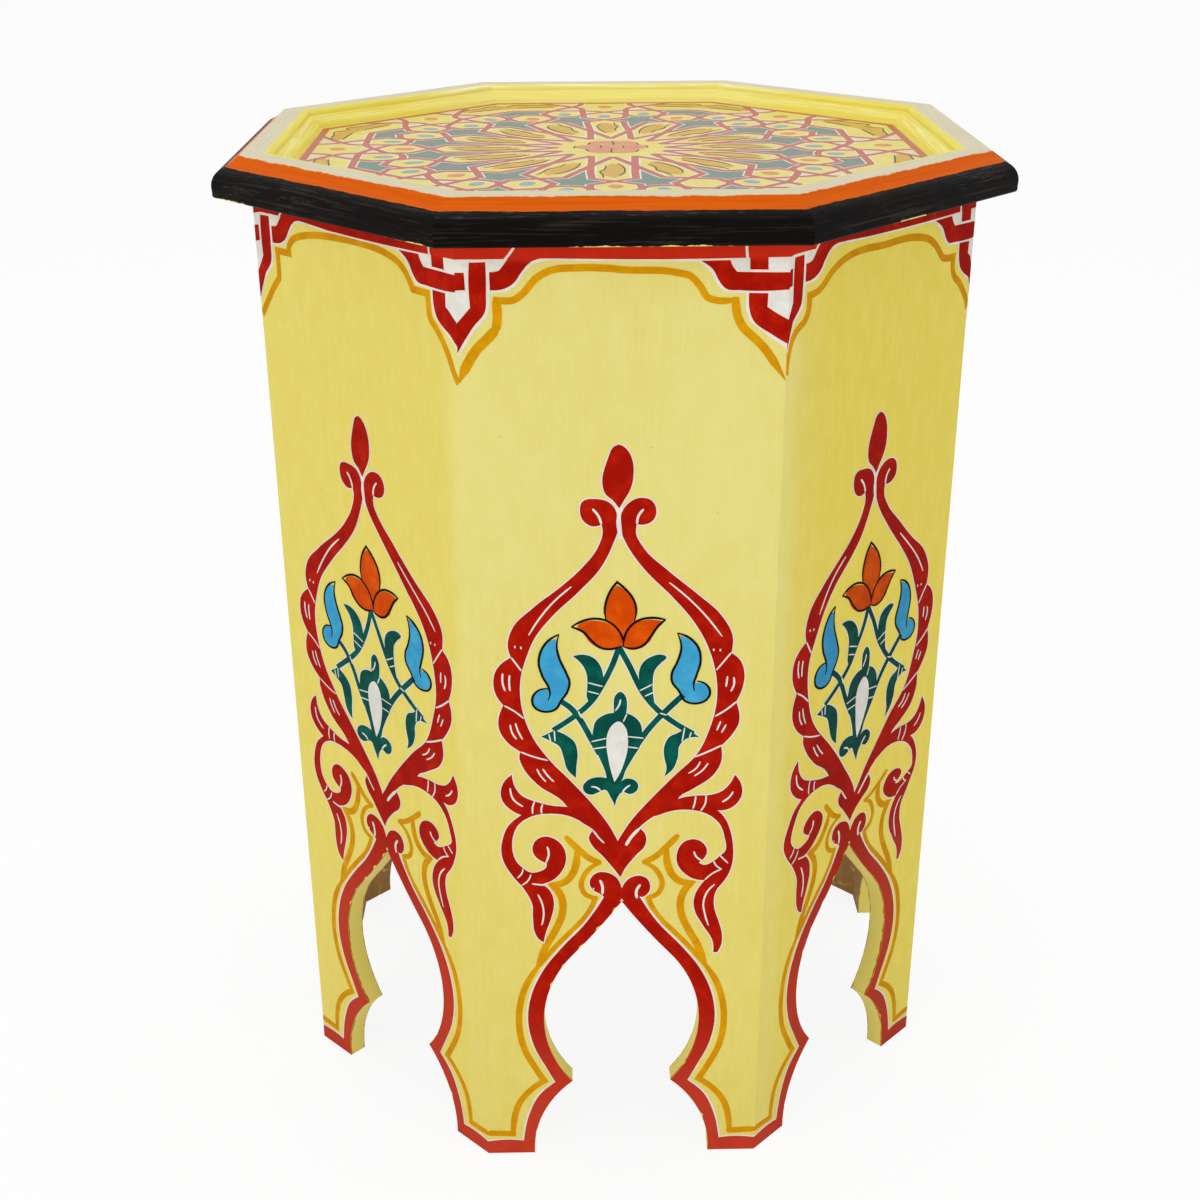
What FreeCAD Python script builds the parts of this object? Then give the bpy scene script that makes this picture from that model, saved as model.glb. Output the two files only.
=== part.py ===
import FreeCAD, Part
import math
import os

# Octagonal painted side table: eight mitred boards with sawn arches carry a
# recessed top, edged by eight mitred lengths of moulding.
# Millimetres. +Z is up, the origin is on the floor at the table's centre and
# side 1 faces -Y. Sides are counted anticlockwise seen from above.

# overall
side_count = 8
table_height = 508.0
body_across_flats = 342.0

# side boards
panel_thickness = 10.0

# sawn arch in each side board, half widths from the middle of the board
arch_height = 159.0
arch_shoulder_height = 128.0
arch_shoulder_half_width = 24.0
arch_bulb_height = 88.0
arch_bulb_half_width = 39.7
arch_cusp_height = 47.5
arch_cusp_half_width = 25.6
arch_foot_half_width = 46.0
arch_flank_sag = 0.6
arch_leg_sag = 6.0

# top board
board_thickness = 9.3
board_inset = 5.0
margin_rebate_depth = 2.5

# rim moulding, widths counted outwards from the painted field
rim_inset = 16.5
lip_ogee_width = 10.1
lip_round_width = 3.6
lip_round_height = 2.9
lip_quirk_width = 1.4
lip_quirk_height = 2.2
land_width = 11.0
cove_width = 6.9
cove_height = 5.2
cove_sag = 0.5
ovolo_width = 5.8
ovolo_height = 10.0
nose_height = 3.6
nose_round = 1.6

# hidden framing
cleat_width = 18.0
cleat_height = 18.0
block_leg = 22.0
block_above_arch = 45.0

# fasteners
screw_diameter = 3.5
screw_head_diameter = 7.0
screw_head_height = 2.5
screw_bite = 5.0
cleat_screw_spacing = 60.0
top_screw_spacing = 90.0
nail_diameter = 1.8
nail_bite = 9.0
nail_spacing = 80.0

# fits
glue_gap = 0.1
pilot_clearance = 0.05

# derived
half_turn = math.pi / side_count
mitre_slope = math.tan(half_turn)
swell = math.sqrt(0.5)  # middle of a quarter round, as a share of its width and height
body_apothem = body_across_flats / 2
panel_inner = body_apothem - panel_thickness
rim_height = nose_height + ovolo_height + cove_height
panel_height = table_height - rim_height
board_apothem = body_apothem - board_inset
board_top = panel_height + board_thickness
margin_top = board_top - margin_rebate_depth
field_apothem = body_apothem - rim_inset
land_inner = field_apothem + lip_ogee_width
land_outer = land_inner + land_width
cove_outer = land_outer + cove_width
nose_apothem = cove_outer + ovolo_width
cleat_inner = panel_inner - cleat_width
cleat_bottom = panel_height - cleat_height
block_bottom = arch_height + block_above_arch

os.makedirs("parts", exist_ok=True)
axis_z = FreeCAD.Vector(0, 0, 1)
origin = FreeCAD.Vector(0, 0, 0)


def straight(start, end):
    return Part.LineSegment(start, end).toShape()


def bulged(start, end, sag):
    # arc from start to end that leaves the chord by sag, to the left of travel
    # in the plane x = 0 or y = 0
    chord = end - start
    if abs(start.y - end.y) < 1e-9:
        side = FreeCAD.Vector(-chord.z, 0, chord.x)
    else:
        side = FreeCAD.Vector(0, -chord.z, chord.y)
    side.normalize()
    middle = (start + end) * 0.5 + side * sag
    return Part.Arc(start, middle, end).toShape()


def turned(shape, index):
    copy = shape.copy()
    copy.rotate(origin, axis_z, index * 360.0 / side_count)
    return copy


def prism(plan_points, bottom, top):
    corners = [FreeCAD.Vector(x, y, bottom) for x, y in plan_points]
    outline = Part.makePolygon(corners + corners[:1])
    return Part.Face(outline).extrude(FreeCAD.Vector(0, 0, top - bottom))


def octagon(apothem, bottom, top):
    reach = apothem / math.cos(half_turn)
    angles = [2 * half_turn * (step + 0.5) for step in range(side_count)]
    return prism([(reach * math.cos(a), reach * math.sin(a)) for a in angles], bottom, top)


def mitred_strip(inner, outer, bottom, top):
    # straight strip on side 1 between two apothems, its ends on the mitre planes
    half_inner = inner * mitre_slope
    half_outer = outer * mitre_slope
    plan = [(-half_outer, -outer), (half_outer, -outer), (half_inner, -inner), (-half_inner, -inner)]
    return prism(plan, bottom, top)


def screw(tip, head, extra):
    # countersunk screw from its head to its tip, grown all round by extra
    shaft = tip - head
    length = shaft.Length
    radius = screw_diameter / 2 + extra
    head_radius = screw_head_diameter / 2 + extra
    shank = Part.makeCylinder(radius, length, head, shaft)
    cone = Part.makeCone(head_radius, radius, screw_head_height, head, shaft)
    return shank.fuse(cone).removeSplitter()


def nail(tip, head, extra):
    shaft = tip - head
    return Part.makeCylinder(nail_diameter / 2 + extra, shaft.Length, head, shaft)


def cleat_screw_ends():
    # level screws through a cleat into the board behind it
    height = cleat_bottom + cleat_height / 2
    for x in (-cleat_screw_spacing / 2, cleat_screw_spacing / 2):
        tip = FreeCAD.Vector(x, -(panel_inner + screw_bite), height)
        yield tip, FreeCAD.Vector(x, -cleat_inner, height)


def top_screw_ends():
    # upright screws through a cleat into the top board
    depth = cleat_inner + min(cleat_width, field_apothem - cleat_inner) / 2
    for x in (-top_screw_spacing / 2, top_screw_spacing / 2):
        tip = FreeCAD.Vector(x, -depth, panel_height + screw_bite)
        yield tip, FreeCAD.Vector(x, -depth, cleat_bottom)


def rim_nail_ends():
    # level nails through a moulding's nose into the edge of the top board
    height = panel_height + (nose_round + nose_height) / 2
    for x in (-nail_spacing / 2, nail_spacing / 2):
        tip = FreeCAD.Vector(x, -(board_apothem - nail_bite), height)
        yield tip, FreeCAD.Vector(x, -nose_apothem, height)


def drilled(shape, maker, ends):
    for tip, head in ends:
        shape = shape.cut(maker(tip, head, pilot_clearance))
    return shape


def arch_outline():
    y = -(body_apothem + panel_thickness)
    apex = FreeCAD.Vector(0, y, arch_height)
    edges = []
    for sign in (1, -1):
        shoulder = FreeCAD.Vector(sign * arch_shoulder_half_width, y, arch_shoulder_height)
        bulb = FreeCAD.Vector(sign * arch_bulb_half_width, y, arch_bulb_height)
        cusp = FreeCAD.Vector(sign * arch_cusp_half_width, y, arch_cusp_height)
        foot = FreeCAD.Vector(sign * arch_foot_half_width, y, 0)
        flank = bulged(apex, shoulder, -sign * arch_flank_sag)
        round_part = Part.Arc(shoulder, bulb, cusp).toShape()
        leg = bulged(cusp, foot, sign * arch_leg_sag)
        edges.append([flank, round_part, leg])
    right_foot = FreeCAD.Vector(arch_foot_half_width, y, 0)
    left_foot = FreeCAD.Vector(-arch_foot_half_width, y, 0)
    floor_edge = straight(right_foot, left_foot)
    return Part.Wire(edges[0] + [floor_edge] + edges[1][::-1])


def side_panel():
    board = mitred_strip(panel_inner, body_apothem, 0, panel_height)
    through = FreeCAD.Vector(0, 3 * panel_thickness, 0)
    board = board.cut(Part.Face(arch_outline()).extrude(through))
    return drilled(board, screw, cleat_screw_ends())


def top_board():
    core = octagon(field_apothem - glue_gap, panel_height, board_top)
    margin = octagon(board_apothem, panel_height, margin_top)
    board = core.fuse(margin).removeSplitter()
    for index in range(side_count):
        holes = [screw(tip, head, pilot_clearance) for tip, head in top_screw_ends()]
        holes += [nail(tip, head, pilot_clearance) for tip, head in rim_nail_ends()]
        board = board.cut([turned(hole, index) for hole in holes])
    return board


def rim_section():
    # section of the moulding in the plane x = 0, outwards along -Y
    def at(apothem, height):
        return FreeCAD.Vector(0, -apothem, panel_height + height)

    board_side = board_apothem + glue_gap
    ledge = margin_top - panel_height
    field_level = board_thickness
    quirk = at(field_apothem + lip_quirk_width, field_level + lip_quirk_height)
    round_foot = at(land_inner - lip_round_width, rim_height - lip_round_height)
    round_middle = at(land_inner - swell * lip_round_width, rim_height - (1 - swell) * lip_round_height)
    land_in = at(land_inner, rim_height)
    land_out = at(land_outer, rim_height)
    cove_foot = at(cove_outer, nose_height + ovolo_height)
    ovolo_foot = at(nose_apothem, nose_height)
    ovolo_middle = at(cove_outer + swell * ovolo_width, nose_height + swell * ovolo_height)
    nose_side = at(nose_apothem, nose_round)
    nose_turn = at(nose_apothem - (1 - swell) * nose_round, (1 - swell) * nose_round)
    nose_under = at(nose_apothem - nose_round, 0)
    edges = [
        straight(at(field_apothem, ledge), at(field_apothem, field_level)),
        straight(at(field_apothem, field_level), quirk),
        straight(quirk, round_foot),
        Part.Arc(round_foot, round_middle, land_in).toShape(),
        straight(land_in, land_out),
        bulged(land_out, cove_foot, cove_sag),
        Part.Arc(cove_foot, ovolo_middle, ovolo_foot).toShape(),
        straight(ovolo_foot, nose_side),
        Part.Arc(nose_side, nose_turn, nose_under).toShape(),
        straight(nose_under, at(board_side, 0)),
        straight(at(board_side, 0), at(board_side, ledge)),
        straight(at(board_side, ledge), at(field_apothem, ledge)),
    ]
    return Part.Face(Part.Wire(edges))


def rim_moulding():
    half_length = nose_apothem * mitre_slope
    section = rim_section()
    section.translate(FreeCAD.Vector(-half_length, 0, 0))
    stick = section.extrude(FreeCAD.Vector(2 * half_length, 0, 0))
    mitre_room = mitred_strip(field_apothem / 2, 2 * nose_apothem, 0, 2 * table_height)
    return drilled(stick.common(mitre_room), nail, rim_nail_ends())


def top_cleat():
    cleat = mitred_strip(cleat_inner, panel_inner, cleat_bottom, panel_height)
    cleat = drilled(cleat, screw, cleat_screw_ends())
    return drilled(cleat, screw, top_screw_ends())


def corner_block():
    # triangular glue block in the corner between sides 1 and 2
    corner_x = panel_inner * mitre_slope
    corner_y = -panel_inner
    lean = 2 * half_turn
    along_next = (corner_x + block_leg * math.cos(lean), corner_y + block_leg * math.sin(lean))
    plan = [(corner_x, corner_y), along_next, (corner_x - block_leg, corner_y)]
    return prism(plan, block_bottom, cleat_bottom)


def all_round(maker, ends):
    pieces = []
    for index in range(side_count):
        pieces += [turned(maker(tip, head, 0), index) for tip, head in ends()]
    return Part.makeCompound(pieces)


repeated = {
    "side_panel": side_panel(),
    "corner_block": corner_block(),
    "top_cleat": top_cleat(),
    "rim_moulding": rim_moulding(),
}
nodes = {"top_board": top_board()}
for name, first in repeated.items():
    for index in range(side_count):
        nodes[f"{name}_{index + 1}"] = turned(first, index)
nodes["cleat_screws"] = all_round(screw, cleat_screw_ends)
nodes["top_screws"] = all_round(screw, top_screw_ends)
nodes["rim_nails"] = all_round(nail, rim_nail_ends)

for name, shape in nodes.items():
    if not shape.isValid():
        raise ValueError(f"{name} is not a valid solid")
    shape.exportStep(f"parts/{name}.step")
    print(name, len(shape.Solids), "solids", round(shape.Volume), "mm3")
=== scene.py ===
import math
import bpy
from mathutils import Matrix, Vector, noise
from mathutils.geometry import delaunay_2d_cdt


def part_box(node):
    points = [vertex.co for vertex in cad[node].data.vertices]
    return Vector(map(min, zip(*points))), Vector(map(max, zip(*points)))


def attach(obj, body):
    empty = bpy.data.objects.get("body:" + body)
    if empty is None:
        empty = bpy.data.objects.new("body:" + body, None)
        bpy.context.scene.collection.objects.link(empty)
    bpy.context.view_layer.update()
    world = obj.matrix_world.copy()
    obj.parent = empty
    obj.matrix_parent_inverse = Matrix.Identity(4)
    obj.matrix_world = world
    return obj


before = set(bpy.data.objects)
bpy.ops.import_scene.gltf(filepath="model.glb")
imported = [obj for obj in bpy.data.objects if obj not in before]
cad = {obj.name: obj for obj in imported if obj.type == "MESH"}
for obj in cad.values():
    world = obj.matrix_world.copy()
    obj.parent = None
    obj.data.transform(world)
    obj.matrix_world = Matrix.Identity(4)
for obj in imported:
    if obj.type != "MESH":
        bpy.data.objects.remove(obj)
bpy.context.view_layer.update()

# Octagonal painted table: paint films and finishes over the joiner's solids.
# Drawings are in millimetres: u to the right and v up on a side board, x and y on the top.
mm = 0.001
sides = 8
sector = math.tau / sides
faceOut = -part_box("side_panel_1")[0].y / mm       # outer face of the side boards
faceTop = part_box("side_panel_1")[1].z / mm        # head of the side boards
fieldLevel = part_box("top_board")[1].z / mm        # painted field of the top
cornerU = faceOut * math.tan(sector / 2)          # half the width of a side board
print("frame loaded, boards out to", round(faceOut, 2), "field at", round(fieldLevel, 2))


def tint(red, green, blue):
    # 0 to 255 as seen on screen, to the linear colour a shader wants
    def linear(value):
        value /= 255
        return value / 12.92 if value <= 0.04045 else ((value + 0.055) / 1.055) ** 2.4
    return (linear(red), linear(green), linear(blue), 1.0)


class Tone:
    # one socket of a node tree, so that shader maths reads as plain sums
    def __init__(self, tree, socket=None):
        self.tree = tree
        self.socket = socket

    def node(self, kind, settings=None, sockets=None, out=0):
        made = self.tree.nodes.new(kind)
        for key, value in (settings or {}).items():
            setattr(made, key, value)
        for key, value in (sockets or {}).items():
            if isinstance(value, Tone):
                self.tree.links.new(value.socket, made.inputs[key])
            else:
                made.inputs[key].default_value = value
        return Tone(self.tree, made.outputs[out])

    def sum(self, operation, first, second):
        return self.node("ShaderNodeMath", {"operation": operation}, {0: first, 1: second})

    def __add__(self, other):
        return self.sum("ADD", self, other)

    def __radd__(self, other):
        return self.sum("ADD", other, self)

    def __sub__(self, other):
        return self.sum("SUBTRACT", self, other)

    def __rsub__(self, other):
        return self.sum("SUBTRACT", other, self)

    def __mul__(self, other):
        return self.sum("MULTIPLY", self, other)

    def __rmul__(self, other):
        return self.sum("MULTIPLY", other, self)


def between(value, low, high):
    # 0 below low, 1 above high, eased between
    ease = {"interpolation_type": "SMOOTHSTEP"}
    return value.node("ShaderNodeMapRange", ease, {0: value, 1: low, 2: high})


def over(mask, below, above):
    return mask.node("ShaderNodeMix", {"data_type": "RGBA"}, {0: mask, 6: below, 7: above}, out=2)


def most(first, second):
    return first.sum("MAXIMUM", first, second)


def vectors(operation, first, second):
    return first.node("ShaderNodeVectorMath", {"operation": operation}, {0: first, 1: second})


def axis(vector, index):
    return vector.node("ShaderNodeSeparateXYZ", {}, {0: vector}, out=index)


def turnedBy(angle, vector):
    sockets = {"Vector": vector, "Angle": angle}
    return vector.node("ShaderNodeVectorRotate", {"rotation_type": "Z_AXIS"}, sockets)


def clouds(place, scale, detail, rough, factors=(1, 1, 1)):
    # every grain below is given like this: fineness per mm, detail, roughness, stretch on x, y and z
    place = vectors("MULTIPLY", place, factors)
    sockets = {"Vector": place, "Scale": scale, "Detail": detail, "Roughness": rough}
    return place.node("ShaderNodeTexNoise", {}, sockets)


def folded(place):
    # every side turned onto the +X side: distance from the axis, length along the side, height, side's number
    angle = place.sum("ARCTAN2", axis(place, 1), axis(place, 0))
    step = place.node("ShaderNodeMath", {"operation": "ROUND"}, {0: angle * (1 / sector)})
    flat = turnedBy(step * -sector, place)
    return axis(flat, 0), axis(flat, 1), axis(flat, 2), step


sideOffset = 41.0     # keeps the streaks of one side from going on round the next


def lengthwise(place, slow):
    # coordinates for streaks along the moulding or batten of each side
    out, along, up, step = folded(place)
    return place.node("ShaderNodeCombineXYZ", {}, {0: out + step * sideOffset, 1: along * slow, 2: up})


def newMaterial(name, **constants):
    material = bpy.data.materials.new(name)
    material.use_nodes = True
    shader = material.node_tree.nodes["Principled BSDF"]
    for label, value in constants.items():
        shader.inputs[label.replace("_", " ")].default_value = value
    place = Tone(material.node_tree).node("ShaderNodeTexCoord", out="Object")
    return material, shader, vectors("MULTIPLY", place, (1 / mm,) * 3)     # millimetres from here on


def dress(shader, colour, roughness, height, depth, strength):
    # depth: what the bump's height stands for, in millimetres
    bump = {"Height": height, "Distance": depth * mm, "Strength": strength}
    bump = height.node("ShaderNodeBump", {}, bump)
    for label, tone in (("Base Color", colour), ("Roughness", roughness), ("Normal", bump)):
        tone.tree.links.new(tone.socket, shader.inputs[label])


# yellow of the boards: pairs are the deep and the plain tone of a coat
yellowPaint = {"front": (tint(223, 210, 117), tint(226, 215, 128)), "pale": tint(231, 221, 141),
               "side": (tint(221, 204, 96), tint(225, 209, 108)), "edge": tint(250, 234, 122),
               "shadedRight": (tint(220, 201, 82), tint(225, 207, 94))}
sideShade = {"from": 74.0, "to": 96.0, "left": 0.1, "right": 0.24,
             "tone": tint(24, 12, 6)}      # outer boards: where they start, and how much painted shade darkens them
pineWood = {"light": tint(214, 176, 120), "dark": tint(178, 132, 78), "rings": (0.22, 3.0, 0.6),
            "fine": (1.4, 2.0, 0.6), "boardGrain": (1, 1, 0.048)}


def outboard(place):
    # 1 on the boards to the right of the front and back ones, and 1 on those to the left
    across = axis(place, 0)
    return [between(reach, sideShade["from"], sideShade["to"]) for reach in (across, 0 - across)]


def pine(place, along):
    # along: how slowly the grain changes on x, y and z
    rings = clouds(place, *pineWood["rings"], along)
    fine = clouds(place, *pineWood["fine"], along)
    return over(rings * 0.7 + fine * 0.3, pineWood["light"], pineWood["dark"])


def coat(colour, deep, pale, **more):
    return {"colour": tint(*colour), "deep": tint(*deep), "pale": tint(*pale), **more}


# paints of the side ornament; right: how much painted shade darkens each on the board to the right
filmPaints = {
    "red": coat((177, 24, 3), (159, 15, 2), (198, 46, 20), right=0.2,
                worn=tint(208, 78, 54), fresh=tint(214, 52, 28)),
    "white": coat((230, 228, 221), (220, 217, 207), (236, 235, 229), right=0.12),
    "ochre": coat((216, 154, 4), (205, 140, 2), (224, 168, 24), right=0.16),
    "green": coat((6, 87, 73), (4, 70, 61), (15, 116, 88), right=0.36),
    "orange": coat((219, 84, 2), (203, 68, 1), (229, 106, 14)),
    "blue": coat((69, 166, 206), (57, 152, 198), (90, 180, 213)),
    "black": coat((28, 18, 14), (18, 12, 10), (44, 28, 20)),
}
# the star's colours, paled towards white: painted reflection of the glare on its varnish
starPaintsWithGlare = {
    "yellow": coat((224, 210, 106), (218, 202, 94), (228, 216, 122)),
    "red": coat((188, 100, 72), (178, 86, 60), (196, 114, 88)),
    "white": filmPaints["white"],
    "green": coat((112, 130, 114), (100, 122, 106), (126, 140, 124)),
    "cream": coat((222, 210, 164), (214, 200, 148), (228, 218, 178)),
    "ochre": coat((208, 166, 42), (198, 152, 30), (216, 178, 66)),
    "orange": coat((214, 142, 82), (206, 128, 66), (220, 156, 98)),
    "blue": coat((136, 166, 176), (120, 156, 170), (152, 178, 184)),
    "salmon": coat((212, 144, 104), (202, 128, 90), (220, 158, 120)),
    "black": filmPaints["black"],
}
filmCoat = {"load": (0.11, 3.0, 0.6), "hair": (0.9, 2.0, 0.6, (1, 1, 0.35)), "full": (0.38, 0.66),
            "thin": (0.54, 0.74), "thinShare": 0.6,
            "feet": (15.0, 110.0), "feetDrift": 60, "feetOuter": 80, "feetShare": 0.55,    # heights in mm
            "head": (478.0, 482.0), "headShare": 0.6, "bump": (0.12, 0.4)}


def filmMaterial(name, paint, glossy=False):
    # brushed colour: streaky, a little uneven, glossier on the varnished top
    material, shader, place = newMaterial(name, Specular_IOR_Level=0.25 if glossy else 0.03)
    load = clouds(place, *filmCoat["load"])
    hair = clouds(place, *filmCoat["hair"])
    colour = over(between(load, *filmCoat["full"]), paint["deep"], paint["colour"])
    thin = between(load * 0.6 + hair * 0.4, *filmCoat["thin"])
    colour = over(thin * filmCoat["thinShare"], colour, paint["pale"])
    right, left = outboard(place)
    if "worn" in paint:
        up = axis(place, 2)
        # painted reflection of the pale floor: paler towards the feet, further up on the outer boards
        sheenReach = up + (load - 0.5) * filmCoat["feetDrift"] - (right + left) * filmCoat["feetOuter"]
        paintedSheen = (1 - between(sheenReach, *filmCoat["feet"])) * filmCoat["feetShare"]
        colour = over(paintedSheen, colour, paint["worn"])
        # painted light along the head of the front and back boards, lifting the red where the nose above
        # shades it
        second = between(up, *filmCoat["head"]) * (1 - right - left) * filmCoat["headShare"]
        colour = over(second, colour, paint["fresh"])
    if not glossy:
        # painted shade: the outer boards, the right one most, are darkened towards brown
        paintedShade = right * paint.get("right", sideShade["right"]) + left * sideShade["left"]
        colour = over(paintedShade, colour, sideShade["tone"])
    roughness = load * 0.2 + (0.32 if glossy else 0.45)
    dress(shader, colour, roughness, hair * 0.7 + load * 0.5, *filmCoat["bump"])
    return material


sidePaint = {key: filmMaterial(key + "_line_paint", paint) for key, paint in filmPaints.items()}
topPaint = {key: filmMaterial(key + "_star_paint", paint, True) for key, paint in starPaintsWithGlare.items()}
print("paints mixed:", len(sidePaint) + len(topPaint))


# drawing: smooth outlines through points, where a third value marks a sharp corner

pen = {"step": 1.5, "strokeStep": 1.1, "taper": 4, "hairpin": 0.2, "mitre": 0.6}
sheet = {"join": 0.01, "digits": 3, "root": -0.03}     # a film starts a hair inside the wood


def through(points, closed=True, step=pen["step"]):
    count = len(points)
    spots = [Vector(p[:2]) for p in points]

    def heading(i):
        if len(points[i]) > 2 or (not closed and i in (0, count - 1)):
            return None
        back = spots[i] - spots[i - 1]
        onward = spots[(i + 1) % count] - spots[i]
        return (back.normalized() * onward.length + onward.normalized() * back.length).normalized()

    headings = [heading(i) for i in range(count)]
    line = []
    for i in range(count if closed else count - 1):
        j = (i + 1) % count
        start, end = spots[i], spots[j]
        chord = end - start
        leave = headings[i] * chord.length if headings[i] else None
        arrive = headings[j] * chord.length if headings[j] else None
        if leave is None and arrive is None:
            leave = arrive = chord
        elif leave is None:
            leave = chord * 1.5 - arrive * 0.5
        elif arrive is None:
            arrive = chord * 1.5 - leave * 0.5
        pieces = max(1, round(chord.length / step))
        for k in range(pieces):
            t = k / pieces
            line.append(start * (2 * t ** 3 - 3 * t ** 2 + 1) + leave * (t ** 3 - 2 * t ** 2 + t)
                        + end * (3 * t ** 2 - 2 * t ** 3) + arrive * (t ** 3 - t ** 2))
    if not closed:
        line.append(spots[-1])
    return line


def angular(points, step=pen["step"]):
    return through([p[:2] + (1,) for p in points], step=step)


def area(line):
    return sum(a.cross(b) for a, b in zip(line, line[1:] + line[:1])) / 2


def sideways(line, i, closed):
    # unit normal to the left of travel, longer at bends so that widths hold
    last = len(line) - 1
    back = line[i] - line[i - 1] if closed or i > 0 else line[1] - line[0]
    onward = line[(i + 1) % len(line)] - line[i] if closed or i < last else line[-1] - line[-2]
    back, onward = back.normalized(), onward.normalized()
    middle = (back + onward)
    if middle.length < pen["hairpin"]:
        middle = onward
    middle.normalize()
    return Vector((-middle.y, middle.x)) / max(pen["mitre"], middle.dot(onward))


def grown(line, width):
    if area(line) < 0:
        line = line[::-1]
    return [p - sideways(line, i, True) * width for i, p in enumerate(line)]


def stroke(points, width, tips=(1.0, 1.0), step=pen["strokeStep"]):
    # a brush line, with its width at the start and the end as shares of the width
    line = through(points, closed=False, step=step)
    last = len(line) - 1
    left, right = [], []
    for i, p in enumerate(line):
        share = i / last
        ends = min(1.0, tips[0] + share * pen["taper"], tips[1] + (1 - share) * pen["taper"])
        reach = sideways(line, i, False) * (width / 2 * ends)
        left.append(p + reach)
        right.append(p - reach)
    return right + left[::-1]


def mirrored(points):
    return [(-p[0],) + tuple(p[1:]) for p in points]


def flipped(line):
    return [Vector((-p.x, p.y)) for p in line]


def film(name, outlines, lift, place):
    # one sheet of dried paint: the joined outlines, closed all round
    spots, faces = [], []
    for line in outlines:
        line = list(line) if area(line) > 0 else list(line)[::-1]
        faces.append(list(range(len(spots), len(spots) + len(line))))
        spots += line
    flat, _, cells, _, _, owners = delaunay_2d_cdt(spots, [], faces, 1, sheet["join"])
    first = {}                       # spots that fall together count as one
    keys = [(round(p.x, sheet["digits"]), round(p.y, sheet["digits"])) for p in flat]
    same = [first.setdefault(key, i) for i, key in enumerate(keys)]
    cells = [[same[i] for i in cell] for cell, owner in zip(cells, owners) if owner]
    cells = [cell for cell in cells if len(set(cell)) == len(cell)]
    used = sorted({i for cell in cells for i in cell})
    order = {old: new for new, old in enumerate(used)}
    count = len(used)
    verts = [place(flat[i], height) for height in (lift, sheet["root"]) for i in used]
    polygons, walls = [], set()
    for cell in cells:
        if area([flat[i] for i in cell]) < 0:
            cell = cell[::-1]
        cell = [order[i] for i in cell]
        polygons.append(cell)
        polygons.append([i + count for i in cell[::-1]])
        walls.update(zip(cell, cell[1:] + cell[:1]))
    polygons += [(a + count, b + count, b, a) for a, b in walls if (b, a) not in walls]
    mesh = bpy.data.meshes.new(name)
    mesh.from_pydata(verts, [], polygons)
    mesh.validate()
    return mesh


def onSide(spot, lift):
    # paint that reaches a corner follows the mitre out
    across = max(-cornerU, min(cornerU, spot.x))
    if cornerU - abs(across) < sheet["join"]:
        across *= 1 + lift / faceOut
    return (across * mm, -(faceOut + lift) * mm, spot.y * mm)


def onTop(spot, lift):
    return (spot.x * mm, spot.y * mm, (fieldLevel + lift) * mm)


# the repeat: an ornament drawn once is set round the table, each copy a little different

repeatPorts = {"Geometry": "Geometry", "Ornament": "Object", "Paint": "Material", "Wobble": "Float",
               "Wave": "Float", "Plane": "Vector", "Middle": "Vector", "Rise From": "Float",
               "Rise To": "Float", "Fall From": "Float", "Fall To": "Float", "Seed": "Float"}
repeatMarks = {"turn": "FLOAT", "loose": "FLOAT", "drift": "FLOAT_VECTOR", "skew": "FLOAT_VECTOR"}
turnPhase = 3.7     # moves the wave on from board to board


def repeatTree():
    tree = bpy.data.node_groups.new("set_round_the_table", "GeometryNodeTree")
    keys = {}
    for label, kind in repeatPorts.items():
        made = tree.interface.new_socket(label, in_out="INPUT", socket_type="NodeSocket" + kind)
        keys[label] = made.identifier
    tree.interface.new_socket("Geometry", in_out="OUTPUT", socket_type="NodeSocketGeometry")
    entry = tree.nodes.new("NodeGroupInput")
    port = {label: Tone(tree, entry.outputs[label]) for label in repeatPorts}
    start = Tone(tree)

    def scaled(vector, factor):
        return start.node("ShaderNodeVectorMath", {"operation": "SCALE"}, {0: vector, "Scale": factor})

    turn, loose, drift, skew = [
        start.node("GeometryNodeInputNamedAttribute", {"data_type": kind}, {"Name": label})
        for label, kind in repeatMarks.items()]
    drawing = start.node("GeometryNodeObjectInfo", {}, {"Object": port["Ornament"]}, out="Geometry")
    angles = start.node("ShaderNodeCombineXYZ", {}, {2: turn})
    spin = start.node("FunctionNodeEulerToRotation", {}, {0: angles})
    copies = {"Points": port["Geometry"], "Instance": drawing, "Rotation": spin}
    copies = start.node("GeometryNodeInstanceOnPoints", {}, copies)
    real = start.node("GeometryNodeRealizeInstances", {}, {"Geometry": copies})
    local = turnedBy(0 - turn, start.node("GeometryNodeInputPosition"))
    height = axis(local, 2)
    free = between(height, port["Rise From"], port["Rise To"])
    free = free * (1 - between(height, port["Fall From"], port["Fall To"]))
    wave = {"Vector": local, "W": turn * turnPhase + port["Seed"], "Scale": port["Wave"], "Detail": 1.0}
    wave = start.node("ShaderNodeTexNoise", {"noise_dimensions": "4D"}, wave, out=1)
    swing = scaled(vectors("SUBTRACT", wave, (0.5, 0.5, 0.5)), loose * port["Wobble"])
    swing = vectors("ADD", swing, drift)
    # skew: rise per length to the right and per length up from the middle of the ornament
    slant = {0: vectors("SUBTRACT", local, port["Middle"]), 1: skew}
    slant = start.node("ShaderNodeVectorMath", {"operation": "DOT_PRODUCT"}, slant, out="Value")
    swing = vectors("ADD", swing, start.node("ShaderNodeCombineXYZ", {}, {2: slant}))
    swing = scaled(vectors("MULTIPLY", swing, port["Plane"]), free)
    moved = {"Geometry": real, "Offset": turnedBy(turn, swing)}
    moved = start.node("GeometryNodeSetPosition", {}, moved)
    done = start.node("GeometryNodeSetMaterial", {}, {"Geometry": moved, "Material": port["Paint"]})
    leave = tree.nodes.new("NodeGroupOutput")
    tree.links.new(done.socket, leave.inputs[0])
    return tree, keys


repeatGroup, repeatKeys = repeatTree()


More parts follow.
